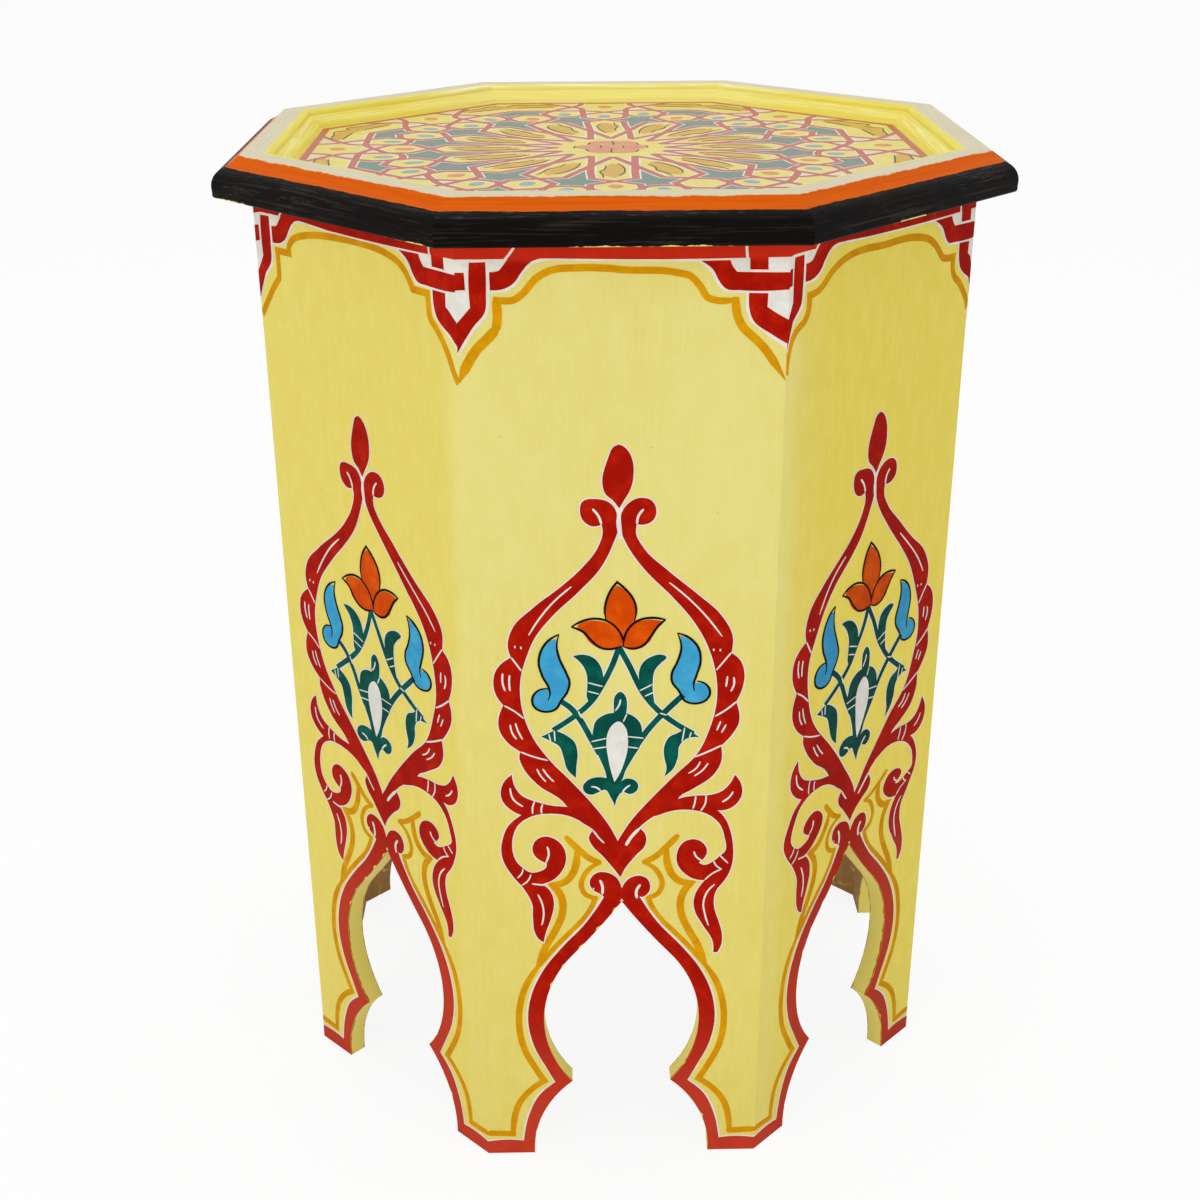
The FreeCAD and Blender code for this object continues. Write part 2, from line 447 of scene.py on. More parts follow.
def setRound(name, mesh, paint, drifts, settings, boards=range(sides)):
    drawing = bpy.data.objects.new(name + "_drawing", mesh)
    bpy.context.scene.collection.objects.link(drawing)
    spots = bpy.data.meshes.new(name + "_spots")
    spots.from_pydata([(0, 0, 0)] * len(boards), [], [])
    for label, kind in repeatMarks.items():
        spots.attributes.new(label, kind, "POINT")
    marks = {label: spots.attributes[label].data for label in repeatMarks}
    for i, k in enumerate(boards):
        shift, freedom, *slant = drifts[k]
        marks["turn"][i].value = sector * k
        marks["loose"][i].value = freedom
        marks["drift"][i].vector = [part * mm for part in shift]
        marks["skew"][i].vector = slant[0] if slant else (0, 0, 0)
    holder = bpy.data.objects.new(name + "_holder", spots)
    bpy.context.scene.collection.objects.link(holder)
    modifier = holder.modifiers.new("round", "NODES")
    modifier.node_group = repeatGroup
    for label, value in {"Ornament": drawing, "Paint": paint, **settings}.items():
        modifier[repeatKeys[label]] = value
    bpy.context.view_layer.update()
    result = bpy.data.meshes.new_from_object(holder.evaluated_get(bpy.context.evaluated_depsgraph_get()))
    holder.modifiers.clear()
    for spare in (holder, drawing):
        bpy.data.objects.remove(spare)
    return result


def addPiece(name, mesh, paint):
    for extra in repeatMarks:
        if extra in mesh.attributes:
            mesh.attributes.remove(mesh.attributes[extra])
    mesh.name = name
    mesh.materials.clear()
    mesh.materials.append(paint)
    piece = bpy.data.objects.new(name, mesh)
    bpy.context.scene.collection.objects.link(piece)
    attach(piece, "root")
    print("piece", name, len(mesh.polygons), "faces")


# side ornament

# sawn arch, as the joiner cut it: half widths and heights, and points to each curve
archCut = {"apex": (0, 159), "shoulder": (24, 128), "bulb": (39.7, 88), "cusp": (25.6, 47.5),
           "foot": (46, 0), "flankSag": 0.6, "legSag": 6.0, "points": (14, 40, 22)}
# the red band stops a hair short of the arris and is nicked here and there, each half at its own phase
bandEdge = {"clear": 0.12, "waves": (0.83, 0.29), "nickAbove": 0.8, "nickDepth": 6, "phases": (0.4, 2.1)}


def arcThrough(start, middle, end, pieces):
    # points of the circle through three spots, from start up to just before end
    a, b, c = Vector(start), Vector(middle), Vector(end)
    squares = [p.length_squared for p in (a, b, c)]
    d = 2 * (a.x * (b.y - c.y) + b.x * (c.y - a.y) + c.x * (a.y - b.y))
    ux = (squares[0] * (b.y - c.y) + squares[1] * (c.y - a.y) + squares[2] * (a.y - b.y)) / d
    uy = (squares[0] * (c.x - b.x) + squares[1] * (a.x - c.x) + squares[2] * (b.x - a.x)) / d
    hub = Vector((ux, uy))
    first = math.atan2(a.y - uy, a.x - ux)
    turns = [math.remainder(math.atan2(p.y - uy, p.x - ux) - first, math.tau) for p in (b, c)]
    sweep = turns[1]
    if turns[0] * turns[1] < 0 or abs(turns[0]) > abs(turns[1]):
        sweep -= math.copysign(math.tau, turns[1])
    radius = (a - hub).length
    angles = [first + sweep * i / pieces for i in range(pieces)]
    return [hub + Vector((math.cos(angle), math.sin(angle))) * radius for angle in angles]


def sagged(start, end, sag):
    a, b = Vector(start), Vector(end)
    chord = b - a
    side = Vector((-chord.y, chord.x)).normalized()
    return (a + b) / 2 + side * sag


def archEdge():
    # right half of the sawn edge, from the apex to the foot
    apex, shoulder, bulb, cusp, foot = [archCut[key] for key in ("apex", "shoulder", "bulb", "cusp", "foot")]
    flank, bow, leg = archCut["points"]
    line = arcThrough(apex, sagged(apex, shoulder, -archCut["flankSag"]), shoulder, flank)
    line += arcThrough(shoulder, bulb, cusp, bow)
    line += arcThrough(cusp, sagged(cusp, foot, archCut["legSag"]), foot, leg)
    line.append(Vector(foot))
    return line


def chipped(line, phase):
    fast, slow = bandEdge["waves"]
    edge = []
    for i, p in enumerate(line):
        nick = math.sin(p.y * fast + phase) * math.sin(p.y * slow + 2 * phase) - bandEdge["nickAbove"]
        edge.append(p + sideways(line, i, False) * (bandEdge["clear"] + max(0, nick) * bandEdge["nickDepth"]))
    return edge


redShapes = {
    "finial": [(-1.4, 368.7, 1), (-4.4, 372.7), (-7.1, 375), (-8.6, 379.5), (-8.6, 383.7), (-7.3, 388.7),
        (-5.6, 393.7), (-4.3, 396.8), (-1.5, 398.3), (1.4, 396.6), (3.2, 394), (4.5, 390), (4.8, 385.3),
        (4.4, 381), (2.8, 376.2), (0.7, 372.6)],
    "leftLimb": [(-2.3, 357, 1), (-4.4, 351.2), (-9.8, 339.9), (-19.8, 328.3), (-32.3, 315.8), (-40.3, 305.3),
        (-44.8, 294.5), (-47.6, 284), (-48, 274.2), (-46.3, 262.9), (-42.2, 251.7), (-35.3, 240.7),
        (-24.8, 228.3), (-14.8, 215.8), (-6.5, 203.3), (-1.6, 193, 1), (-1.5, 186, 1), (-8.6, 193.3, 1),
        (-14, 201.3), (-19.8, 205.8), (-24, 210.5, 1), (-29, 217.9), (-39.8, 226.3), (-47.3, 236.7),
        (-48.7, 241), (-48.3, 245, 1), (-54.8, 250.8), (-57.8, 256.5), (-58.2, 262), (-55.6, 270, 1),
        (-58.8, 275), (-60, 281), (-58.4, 288.5), (-55, 292.5), (-51.4, 294.8, 1), (-52.8, 300.5),
        (-50.3, 309.9), (-40.7, 319.9), (-27.3, 330.8), (-18.2, 339.5), (-10.7, 349.9), (-8.6, 357.8),
        (-9.2, 361, 1), (-13.6, 360.1), (-17, 362.3), (-18.8, 367.3), (-17.8, 371.6), (-11.5, 372.8),
        (-5.8, 371), (-2.8, 366.5), (-2.9, 361)],
    "rightLimb": [(0.3, 355.3, 1), (2.8, 349.9), (10.7, 338.3), (23.2, 324.9), (32.3, 313.7), (39, 302),
        (42.8, 291.2), (44.8, 280), (44.6, 268.3), (42.3, 257.5), (35.7, 241.7), (25.7, 230.8), (14, 217.5),
        (4.8, 205.8), (-1, 195.8), (-2.2, 193.3, 1), (-1.5, 186, 1), (2.4, 192, 1), (8.6, 202.3),
        (16.5, 208.8), (25.7, 212, 1), (27.5, 218.8), (34, 223.3), (44.4, 231.7), (47.3, 238),
        (47.1, 246.8, 1), (52.3, 253), (55.2, 259), (55.3, 264), (53.6, 270.3, 1), (56.7, 279), (57.1, 285.3),
        (54.6, 292.4), (50.7, 295.8, 1), (51.1, 304), (45.7, 314.9), (34, 326.2), (20.7, 337.8), (9.8, 348.7),
        (5.9, 357), (6.4, 361, 1), (10.5, 360.8), (14, 363), (15, 368), (12.8, 372), (7.5, 373.1),
        (2.5, 370.3), (-0.2, 366), (-0.2, 360.3)],
    "heart": [(-14, 200.4, 1), (-15.9, 196.5), (-14.6, 192.6), (-9, 185.8), (-4, 178.8), (-0.6, 173.8, 1),
        (1.1, 177.9), (6.5, 185.8), (11.3, 192), (11.5, 197.5), (8.6, 201.4, 1), (3.4, 194), (-1.5, 190, 1),
        (-7.6, 193.6)],
    "leftHorn": [(-52.9, 232.1, 1), (-52.2, 227), (-48.2, 220.4), (-41.5, 217), (-33.2, 214.6),
        (-25.7, 213.6), (-19, 210, 1), (-18, 204.8, 1), (-26.5, 209.4), (-35.7, 210.6), (-43.2, 209.4),
        (-50.3, 204.6), (-53.3, 197.5), (-53.8, 191.7), (-51.8, 183.2), (-48.6, 179.2), (-44.6, 176.6),
        (-40.5, 177.2), (-37, 179.6), (-36.6, 182.4, 1), (-40, 184), (-43, 187.6), (-43.4, 192),
        (-41.2, 195.8), (-38, 197.3), (-33.2, 196), (-29, 191.6), (-27.5, 185.8), (-29, 178.8), (-34, 172.6),
        (-40, 170.1), (-44.4, 169.8, 1), (-50, 170, 1), (-54, 175.8), (-57.4, 182.4), (-58.8, 189.6),
        (-58, 196), (-54.8, 204), (-48.4, 209.8, 1), (-53.4, 212.8), (-57.6, 218.4), (-58, 224), (-56, 229)],
    "rightHorn": [(54.4, 230.4, 1), (52.4, 226), (48.4, 221.6), (43.6, 219.7), (35.7, 219.2), (28, 217.8),
        (22, 214, 1), (16.5, 208.4, 1), (25.7, 211.5), (35.7, 211.3), (43, 208.3), (48.2, 202.8), (50.4, 196),
        (50.6, 187), (48.4, 185, 1), (44.6, 181.4), (40.4, 179.7), (37.6, 181.4, 1), (40.2, 183.8),
        (41.7, 187.4), (40.2, 191.8), (35.6, 194.6), (30.6, 193.2), (27.6, 188), (27.4, 181.6), (31, 175.4),
        (36.5, 171.8), (41.3, 171.2, 1), (47.2, 166, 1), (52.6, 174.6), (54.4, 182), (54.4, 190), (52.9, 199),
        (49.4, 207.4), (46, 211.2, 1), (51, 211.6), (55.8, 215.2), (58, 221), (57, 226.4)],
    "leftLeaf": [(-49.8, 170, 1), (-46.9, 165), (-44.3, 158.6), (-44.1, 149.8), (-43.3, 141.6),
        (-41.4, 137.4), (-39.3, 135.8, 1), (-38.6, 139.5), (-35.3, 150.4), (-33.9, 157.4), (-35.2, 165),
        (-38.7, 169.2), (-44.4, 170.4, 1)],
    "rightLeaf": [(53, 176.8, 1), (49, 169.4), (46, 162.6), (45.9, 155), (48.2, 147), (50.3, 138),
        (50, 132.4), (48.2, 128, 1), (46.5, 128, 1), (46.2, 134), (40.6, 145), (36.7, 153), (36, 158.4),
        (38, 166), (41.3, 170.8), (45.6, 175), (49.4, 177.4, 1)],
    "leftCurl": [(-9.3, 163, 1), (-11, 164.2), (-13.6, 165.9), (-15.5, 169), (-15, 173.2), (-11.6, 176.2),
        (-7.2, 176), (-3.3, 173.7), (-0.6, 168.6), (0.4, 162, 1), (-1.5, 158.8, 1), (-5, 156, 1)],
    "rightCurl": [(8, 163, 1), (10, 161.8), (12.8, 163.8), (13.9, 168.4), (12, 172.6), (8, 174), (4, 172.6),
        (1, 168.8), (-0.4, 162, 1), (1.5, 158.8, 1), (5, 156, 1)],
}
# painter's edge of the red band round the arch, right half, then along the foot
bandInner = [(8.3, 163, 1), (10.6, 158.6), (18.4, 146), (29.6, 132.6), (39.6, 118.4), (45.8, 103.6),
    (48, 87.4), (45.6, 72), (38.6, 55.6), (34.6, 47.2, 1), (43, 38.8), (48.6, 26), (51.9, 8.4, 1), (60, 9.2),
    (cornerU, 8.2, 1)]
bandFoot = [Vector((cornerU, 0.3)), Vector((46.4, 0.3))]
bandTop = faceTop - 0.4
strapShapes = {
    "headBand": [(-cornerU, bandTop, 1), (-cornerU, 481, 1), (-49.5, 481, 1), (-32, 481.1), (-10, 480.7),
        (14, 480.4), (52, 480.7, 1), (cornerU, 481, 1), (cornerU, bandTop, 1)],
    "leftStrap": [(-56.3, 475.5, 1), (-52.6, 475.9), (-50.6, 478), (-45.4, 485.6, 1), (-38, 486, 1),
        (-34, 481.2, 1), (-38.6, 479.8), (-42.4, 475.8), (-46.4, 470.4), (-50, 468.4), (-56.2, 467.7, 1)],
    "leftUnder": [(-cornerU, 475.4, 1), (-67, 475.2, 1), (-66.7, 467.9, 1), (-cornerU, 467.8, 1)],
    "leftPost": [(-64.7, 479.6, 1), (-57.8, 479.8, 1), (-57.9, 466), (-58.6, 458.4), (-63.7, 452),
        (-68.3, 444.9), (-cornerU, 440.6, 1), (-cornerU, 453.4, 1), (-64.8, 460.3, 1), (-65.2, 470)],
    "rightStrap": [(33, 479.6, 1), (38, 476), (41.2, 470.4), (43.6, 467.7), (50, 466.9), (60, 466.5),
        (cornerU, 467, 1), (cornerU, 474.4, 1), (61, 474.5), (48.4, 474.8, 1), (46.6, 477), (45.4, 479.8, 1)],
    "rightPostHigh": [(53.4, 486.8, 1), (61.2, 486.8, 1), (61.6, 475.4, 1), (53.9, 475.6, 1)],
    "rightPostLow": [(53.7, 465.7, 1), (61.9, 465.5, 1), (61.7, 459.6, 1), (65.6, 457), (cornerU, 454, 1),
        (cornerU, 443.4, 1), (64, 447.6), (55.6, 454.2), (54, 459)],
}
# white ground between and beside the straps, all corners sharp
headWhite = {
    "headLine": [(-45, 481.4), (-32, 481.6), (32, 480.6), (52.6, 481.4), (52.6, 480), (32, 479.4),
        (14, 479.6), (-32, 480.2), (-38, 479.2)],
    "leftDiagonal": [(-46.4, 486.6), (-45, 486.6), (-49.4, 480.2), (-51.4, 475.6), (-53, 475.6)],
    "leftPatch": [(-57, 481.2), (-49.8, 481.6), (-51.6, 476.4), (-57, 475.4)],
    "leftHigh": [(-cornerU, 481), (-64, 481), (-64.8, 475.4), (-cornerU, 475.4)],
    "leftInside": [(-cornerU, 468.2), (-64.8, 468), (-64.6, 460), (-cornerU, 453.2)],
    "leftPostEdges": [(-67.2, 480.6), (-56.2, 481), (-56.2, 464), (-57.2, 457), (-63, 450.6),
        (-cornerU, 438.6), (-cornerU, 445), (-66.6, 467)],
    "leftStrapEdge": [(-57, 468), (-50, 469), (-46, 471), (-41, 478), (-34, 481.4), (-32, 480.4),
        (-38, 478.8), (-41.4, 475.2), (-45.4, 469.4), (-49.6, 467), (-57, 466.4)],
    "rightPatch": [(45, 480.4), (53.6, 481.6), (54.2, 475), (48, 474.2), (46, 477)],
    "rightStrapEdge": [(31, 480.4), (46, 480.8), (49, 476), (62, 475.8), (62, 465), (43, 466.2), (40, 469.8),
        (37, 475)],
    "rightHigh": [(61, 481.2), (66, 481.6), (cornerU, 482.6), (cornerU, 474), (61, 474.2)],
    "rightInside": [(61, 466.8), (cornerU, 467.2), (cornerU, 453.6), (61.4, 459.4)],
    "rightPostEdges": [(51.6, 487), (53.6, 487), (54.2, 475), (62, 475), (62, 464), (cornerU, 452),
        (cornerU, 441.2), (63, 446.6), (54.2, 453.6), (52.6, 459), (52.6, 478)],
}
finialWhite = [(-2.8, 369), (-2.6, 357), (-1, 352), (0.2, 355), (0, 369)]
# lines: points, width, and now and then the width at the two tips
ochreLines = [
    ([(-cornerU, 427), (-68.4, 432.4), (-62.6, 442), (-57, 447.6), (-54, 451)], 4.4, (0.1, 0.7)),
    ([(-54.2, 450.4), (-53.5, 454.6), (-53.7, 463.6)], 3.9),
    ([(-55, 464), (-45.6, 463.8), (-42.6, 466), (-36.2, 473), (-31, 475.8), (-18.7, 477), (2.3, 475.9)], 3.1),
    ([(-6, 476.4), (2.3, 475.9), (22, 474.8), (29, 472.9), (33, 468.6), (36.6, 463.6), (39.4, 462.7),
        (48.8, 462.8)], 3.0),
    ([(48.2, 464), (49.2, 455.4), (51.6, 450.8), (56, 446.6), (60.6, 442), (66.6, 433.6), (cornerU, 427)],
        3.7, (0.7, 0.1)),
]
# the boards beside the front one have heads of their own: their straps sit further out (u and v, to the left
# and to the right), and each has its own ochre line
headBoards = {"": (0, 2, 3, 4, 5, 6), "left_": (7,), "right_": (1,)}
headSpread = {"": ((0, 0), (0, 0)), "left_": ((-1.2, 1.3), (2.6, 0)), "right_": ((-3.8, 0.6), (5.5, 0)),
              "above": 410.0, "from": 15.0, "over": 25.0, "held": 7.0}
headOchre = {
    "left_": ([(-cornerU, 432), (-63.9, 441.5), (-58.5, 448.4), (-54.6, 452.4, 1), (-54.3, 458),
        (-54.4, 465.6, 1), (-45.2, 465.6, 1), (-45.1, 468.4), (-43.7, 470.7), (-40.3, 473.4), (-34.8, 475.2),
        (-27.5, 476.7), (-9.4, 478.2), (8.8, 478.4), (17.9, 477.9), (27, 476.4), (33.4, 474.3), (37.9, 471.1),
        (40.6, 467.6), (43, 463.6, 1), (52.6, 463.4, 1), (53, 459), (53.6, 453.4), (57.9, 448.4),
        (61.5, 443.8), (65.2, 437.5), (67.9, 431.1), (cornerU, 426.6)], 3.2),
    "right_": ([(-cornerU, 429), (-69.8, 438.4), (-67.4, 444.4), (-63.9, 448.2), (-59.4, 450.8),
        (-57.5, 453.4), (-56.5, 461.7, 1), (-49.4, 463.1), (-45.7, 465.6), (-41.2, 469.3), (-34.8, 472.6),
        (-27.5, 474.7), (-18.5, 475.4), (-0.3, 474.9), (8.8, 475.2), (17.9, 474.9), (27, 473.5),
        (34.3, 471.1), (39.7, 467.3), (42.9, 463.9), (45.8, 461), (48.8, 460.2), (55, 459.9, 1),
        (55.2, 453.8), (57, 450.2), (61.5, 446.5), (66.1, 441.1), (69.7, 435.6), (cornerU, 432)], 3.3),
}
# right half of the lines that follow the arch; the left half is their mirror image
archLines = [
    ([(cornerU, 13.6), (64, 13.4), (56, 12.8)], 3.6),
    ([(57.4, 12.4), (57, 20), (53.4, 34), (46, 43.6), (40.4, 48, 1), (44.6, 56), (50, 68), (52.6, 82),
        (52, 96), (48.6, 109), (41.6, 121.6)], 3.3),
    ([(43, 119.4), (34, 131.6), (26, 141), (18.4, 150), (14.6, 157), (13.2, 161.2, 1), (17.8, 163.4),
        (20, 168.4), (18.6, 174.6), (15, 179.4), (10.2, 181.8)], 2.6),
    ([(10.2, 181.6), (16.5, 185), (21, 189.6), (24.6, 193.6), (27.6, 197.4)], 3.2),
    ([(42, 120.6), (38.4, 132), (33.4, 142), (30, 150.6), (29.2, 158), (30.6, 164), (34, 169.2, 1),
        (28.4, 170.8), (24.4, 175.4), (22.4, 181.6), (22, 190)], 3.7),
]
greenStrokes = [
    ([(-1.5, 299.6), (-3.6, 292.8), (-8.8, 281), (-15, 270.6), (-22, 264), (-32.6, 256.2)], 2.7),
    ([(-1.4, 299.6), (3.2, 290.3), (10.3, 275), (16.9, 266.3), (25.7, 258.8), (34, 253.4)], 2.7),
    ([(-28.6, 271.6), (-24, 267.8), (-19.8, 261.7), (-14.2, 250.4), (-10.6, 243)], 2.8),
    ([(28.8, 274.2), (21.5, 266.7), (12.3, 255.8), (7.4, 248)], 2.9),
]
greenShapes = {
    "leftLeaf": [(-22.9, 295.2, 1), (-18.2, 295.9), (-13.6, 294.4), (-10.4, 290.6), (-8.8, 284.6),
        (-9.6, 278), (-14.4, 270, 1), (-16.2, 272.4), (-16.3, 279), (-16.4, 285), (-18.4, 290.4)],
    "rightLeaf": [(20.8, 294.1), (18.6, 295.4), (14.4, 294.8), (10.2, 292), (7.8, 285.6), (9, 279),
        (16.6, 265.4, 1), (15.2, 271), (14.4, 281), (15.4, 287.6), (18.6, 291.6)],
    "leftBracket": [(-38.3, 252.9, 1), (-31.9, 256.2, 1), (-26.5, 253.5), (-22.4, 249.4), (-21.2, 243.6),
        (-21.8, 236), (-22.1, 230.2, 1), (-26, 234.6), (-28, 242), (-29.8, 247.5), (-33.6, 250.2)],
    "rightBracket": [(36.9, 251.5, 1), (30, 256.8, 1), (27, 254.2), (22.6, 252), (20.1, 246.4), (20.4, 240),
        (21.4, 235), (20.3, 230.2, 1), (24.2, 234), (26.8, 240.8), (27.4, 247), (30.4, 250.6)],
    "seedArch": [(-2.3, 265.2), (-8, 264.3), (-12.4, 260.8), (-13.8, 255), (-14.2, 248.5), (-11.4, 242.4),
        (-8.2, 234.2), (-6, 227), (-3.4, 225, 1), (-0.6, 227.6), (1.9, 234.2), (5.4, 241), (8.8, 247.6),
        (9.6, 253.6), (8.4, 260), (4.4, 263.9)],
    "sprout": [(-3.7, 264.6, 1), (-3.9, 269.2), (-3, 274.6), (-0.7, 276.4), (1.5, 274.2), (2.4, 269),
        (1.9, 264.6, 1)],
    "fleur": [(-6.2, 229.4), (-11.4, 230.4), (-16.4, 228.8), (-18.8, 225), (-17.6, 221.8), (-13.6, 220.8),
        (-10.4, 222.6), (-8.2, 223.4), (-5.6, 219.4), (-3.3, 214.3, 1), (-1.8, 219.6), (0.2, 222), (4, 220.7),
        (7.2, 222.6), (7.9, 225.8), (5.6, 228.8), (1.9, 229.4), (-2, 227)],
}
seedShape = [(-1.6, 260.6), (-4.8, 258.4), (-6.9, 254), (-7.4, 248.6), (-6.6, 241), (-5.2, 233.6),
    (-3.6, 227.6, 1), (-1.6, 231), (1, 238), (2.6, 245), (2.8, 251.6), (1.6, 257.4)]
petalFills = {
    "middle": [(-2.2, 330.8, 1), (-6.2, 326), (-7.6, 319), (-7.2, 313.4), (-3.6, 311), (0.6, 303, 1),
        (2.8, 309.4), (5.6, 313.4), (6, 319), (3.4, 326)],
    "left": [(-20.6, 310.6), (-17.4, 312.6), (-11, 313), (-5, 311), (-0.8, 305.6), (0.4, 300, 1), (-5.4, 299),
        (-11, 299.4), (-14.8, 302), (-18, 306.8)],
    "right": [(18.4, 312.6, 1), (11, 313.2), (5.6, 311.4), (2, 306.6), (0.8, 300, 1), (5, 299.2),
        (10.4, 300.4), (13.4, 303), (14, 306.4)],
}
budFills = {
    "left": [(-30.6, 304, 1), (-33.6, 303), (-37.4, 298), (-38.5, 292), (-36.8, 284), (-34.8, 279),
        (-39.6, 277), (-42, 273), (-40.8, 268.8), (-36.5, 266.6), (-32, 267.4), (-29, 271.4), (-26.4, 275.6),
        (-25, 281), (-26.6, 287.4), (-29.6, 295), (-30.6, 300)],
    "right": [(27, 305, 1), (31, 303), (35, 299), (36.3, 292), (34.6, 284.6), (34, 281), (38.4, 280),
        (41, 276), (39.8, 272), (36, 270.2), (31, 270.6), (28, 274), (25, 278.6), (23.5, 283), (25.2, 289.8),
        (27.2, 297), (27.6, 301)],
}
blackStrokes = [
    ([(-7.4, 313.8), (-8, 318), (-7.2, 323.4), (-5.2, 328.4), (-2.3, 332.4, 1), (1.4, 329), (5, 324),
        (6.5, 318), (5.6, 312.6)], 1.05),
    ([(-23.4, 310.1), (-19.4, 312.6), (-13, 314.2), (-7, 313), (-2.4, 309.2), (0.6, 302), (0.6, 299.6)],
        1.05),
    ([(-23.4, 310.1), (-18, 307.6), (-13.8, 302.6), (-10.4, 299.6), (-5.4, 298.6), (0.2, 300.2)], 1.2),
    ([(20, 313.3), (13.6, 314.3), (7, 312.8), (2.6, 308.4), (0.8, 303), (0.6, 299.9)], 1.1),
    ([(20, 313.3), (16.4, 309.8), (13, 304.4), (9.4, 300), (4.6, 298.7), (0.4, 299.8)], 1.2),
    ([(-29.3, 306.4), (-34, 303.4), (-37.8, 297.6), (-38.8, 292), (-37.2, 285), (-34.2, 278.4),
        (-33.8, 275.2), (-34.8, 272.2)], 1.1),
    ([(-34.8, 278.4), (-38.6, 277.8), (-42, 273.8), (-41.4, 269), (-36.5, 266.2), (-31.4, 267.4),
        (-28.6, 272), (-25.6, 276.8), (-24.6, 281.6), (-26, 286.2), (-29.2, 294), (-30.3, 299.6),
        (-29.3, 306.4)], 1.1),
    ([(25.7, 306.4), (31, 304), (35.4, 298.8), (36.6, 292), (34.8, 284.4), (33.6, 280), (34, 276.2)], 1.1),
    ([(35.2, 281.4), (39, 280), (41.4, 275.4), (39.6, 271.4), (34.6, 269.6), (30, 270.8), (26.6, 276.6),
        (23.4, 281.4), (23.4, 286), (25.6, 291), (27.5, 299.4), (25.7, 306.4)], 1.1),
]
lightStrokes = [
    ([(-51.5, 294.9), (-46.9, 287.8)], 0.8), ([(-55.4, 269.7), (-50.6, 266.6), (-46.3, 262.7)], 0.8),
    ([(-48.3, 244.8), (-42, 242), (-35.3, 240)], 0.8), ([(50.9, 296.2), (44, 287)], 0.8),
    ([(54, 270.4), (49, 266), (44, 262.7)], 0.9), ([(47.8, 247.1), (41, 243.6), (34.8, 240.8)], 0.9),
    ([(-23.2, 330.5), (-32.3, 322), (-39.8, 312), (-43.2, 306.2)], 0.85),
    ([(21.5, 332), (30.7, 323.7), (39, 314.5), (46.3, 304.5)], 0.8), ([(-49.7, 300.9), (-49.7, 299.7)], 1.3),
    ([(-46.9, 300.4), (-46.9, 299.2)], 1.3), ([(42.6, 298.2), (42.6, 297)], 1.3),
    ([(45.7, 298), (45.7, 296.8)], 1.3), ([(-55.7, 286.7), (-55.9, 282), (-54.8, 277.5)], 0.9),
    ([(-52.5, 285.8), (-52.8, 282), (-52.5, 277.5)], 0.9), ([(49.4, 283.8), (48.8, 278.3)], 0.9),
    ([(52.3, 283.3), (52.6, 280), (51.1, 275.8)], 0.9), ([(-52.9, 259.6), (-52, 255), (-50, 251.7)], 0.8),
    ([(-50.4, 260.4), (-49.2, 256), (-47.1, 251.5)], 0.8), ([(46.8, 260), (45, 255)], 0.8),
    ([(49.4, 258.2), (47.3, 253.8)], 0.8), ([(-40.7, 235.4), (-39, 231.6), (-36.5, 228.3)], 0.8),
    ([(-37.9, 235.4), (-35.6, 231.6), (-32.6, 228.2)], 0.8),
    ([(37.6, 238.3), (35.6, 234.6), (31.9, 231.9)], 0.8),
    ([(41.3, 237.3), (38.6, 233.4), (34.8, 230.4)], 0.8),
    ([(-53.8, 225), (-52.4, 218.8), (-47.8, 214.6)], 0.9),
    ([(53.8, 221.5), (51.8, 218.2), (48.6, 215.7)], 0.9),
    ([(-42.1, 217.5), (-43.2, 214), (-43.2, 210.4)], 0.8),
    ([(-38.3, 215.8), (-39, 213), (-38.8, 210.4)], 0.8), ([(35.7, 219.2), (35.4, 216), (34.4, 212.1)], 0.8),
    ([(40.7, 219.6), (40.4, 215), (38.2, 210.8)], 0.8),
    ([(-48.6, 179.2), (-49.2, 176.6), (-51.5, 173.8)], 0.8),
    ([(-44.8, 175.8), (-46.4, 172), (-49.4, 169.6)], 0.8), ([(48.2, 185.4), (52.3, 180.8)], 0.8),
    ([(45.3, 182.1), (46.6, 179.4), (49, 177.5)], 0.8), ([(41.1, 171.3), (44.4, 174.6), (49.4, 177.5)], 0.8),
    ([(-44.3, 170.3), (-38.4, 169.4)], 0.9),
    ([(-41.6, 164.1), (-39.4, 158), (-38.9, 151.8), (-40, 145.7)], 0.9),
    ([(46, 168.5), (42.7, 164.6), (40.7, 158), (41.6, 150.8), (43.5, 144.1)], 0.9),
    ([(-14, 200.4), (-11.4, 196.6), (-8.6, 193.3)], 0.8), ([(2, 191.8), (4.8, 196.9), (8.8, 201.6)], 1.6),
    ([(-13.4, 368.3), (-10.7, 364.9), (-9.4, 360.8)], 1.1), ([(9.6, 368), (7.3, 364.9), (6.6, 360.8)], 1.1),
    ([(-36.5, 191.7), (-35.8, 187.6), (-37.2, 182.6)], 1.0),
    ([(35.4, 187.9), (36.5, 185), (39.6, 182.3)], 0.9), ([(-10.8, 172), (-9.7, 169), (-9.6, 163.6)], 1.3),
    ([(9.2, 169), (7.3, 165.4), (7.6, 161)], 1.4), ([(-14, 167.4), (-13.9, 166.6)], 1.3),
    ([(-45.2, 486.6), (-47.4, 483.4), (-50, 480.4)], 1.1), ([(52, 486.8), (52.4, 482), (53.2, 475.4)], 1.1),
    ([(53, 475.3), (61.8, 475.2)], 0.9),
]
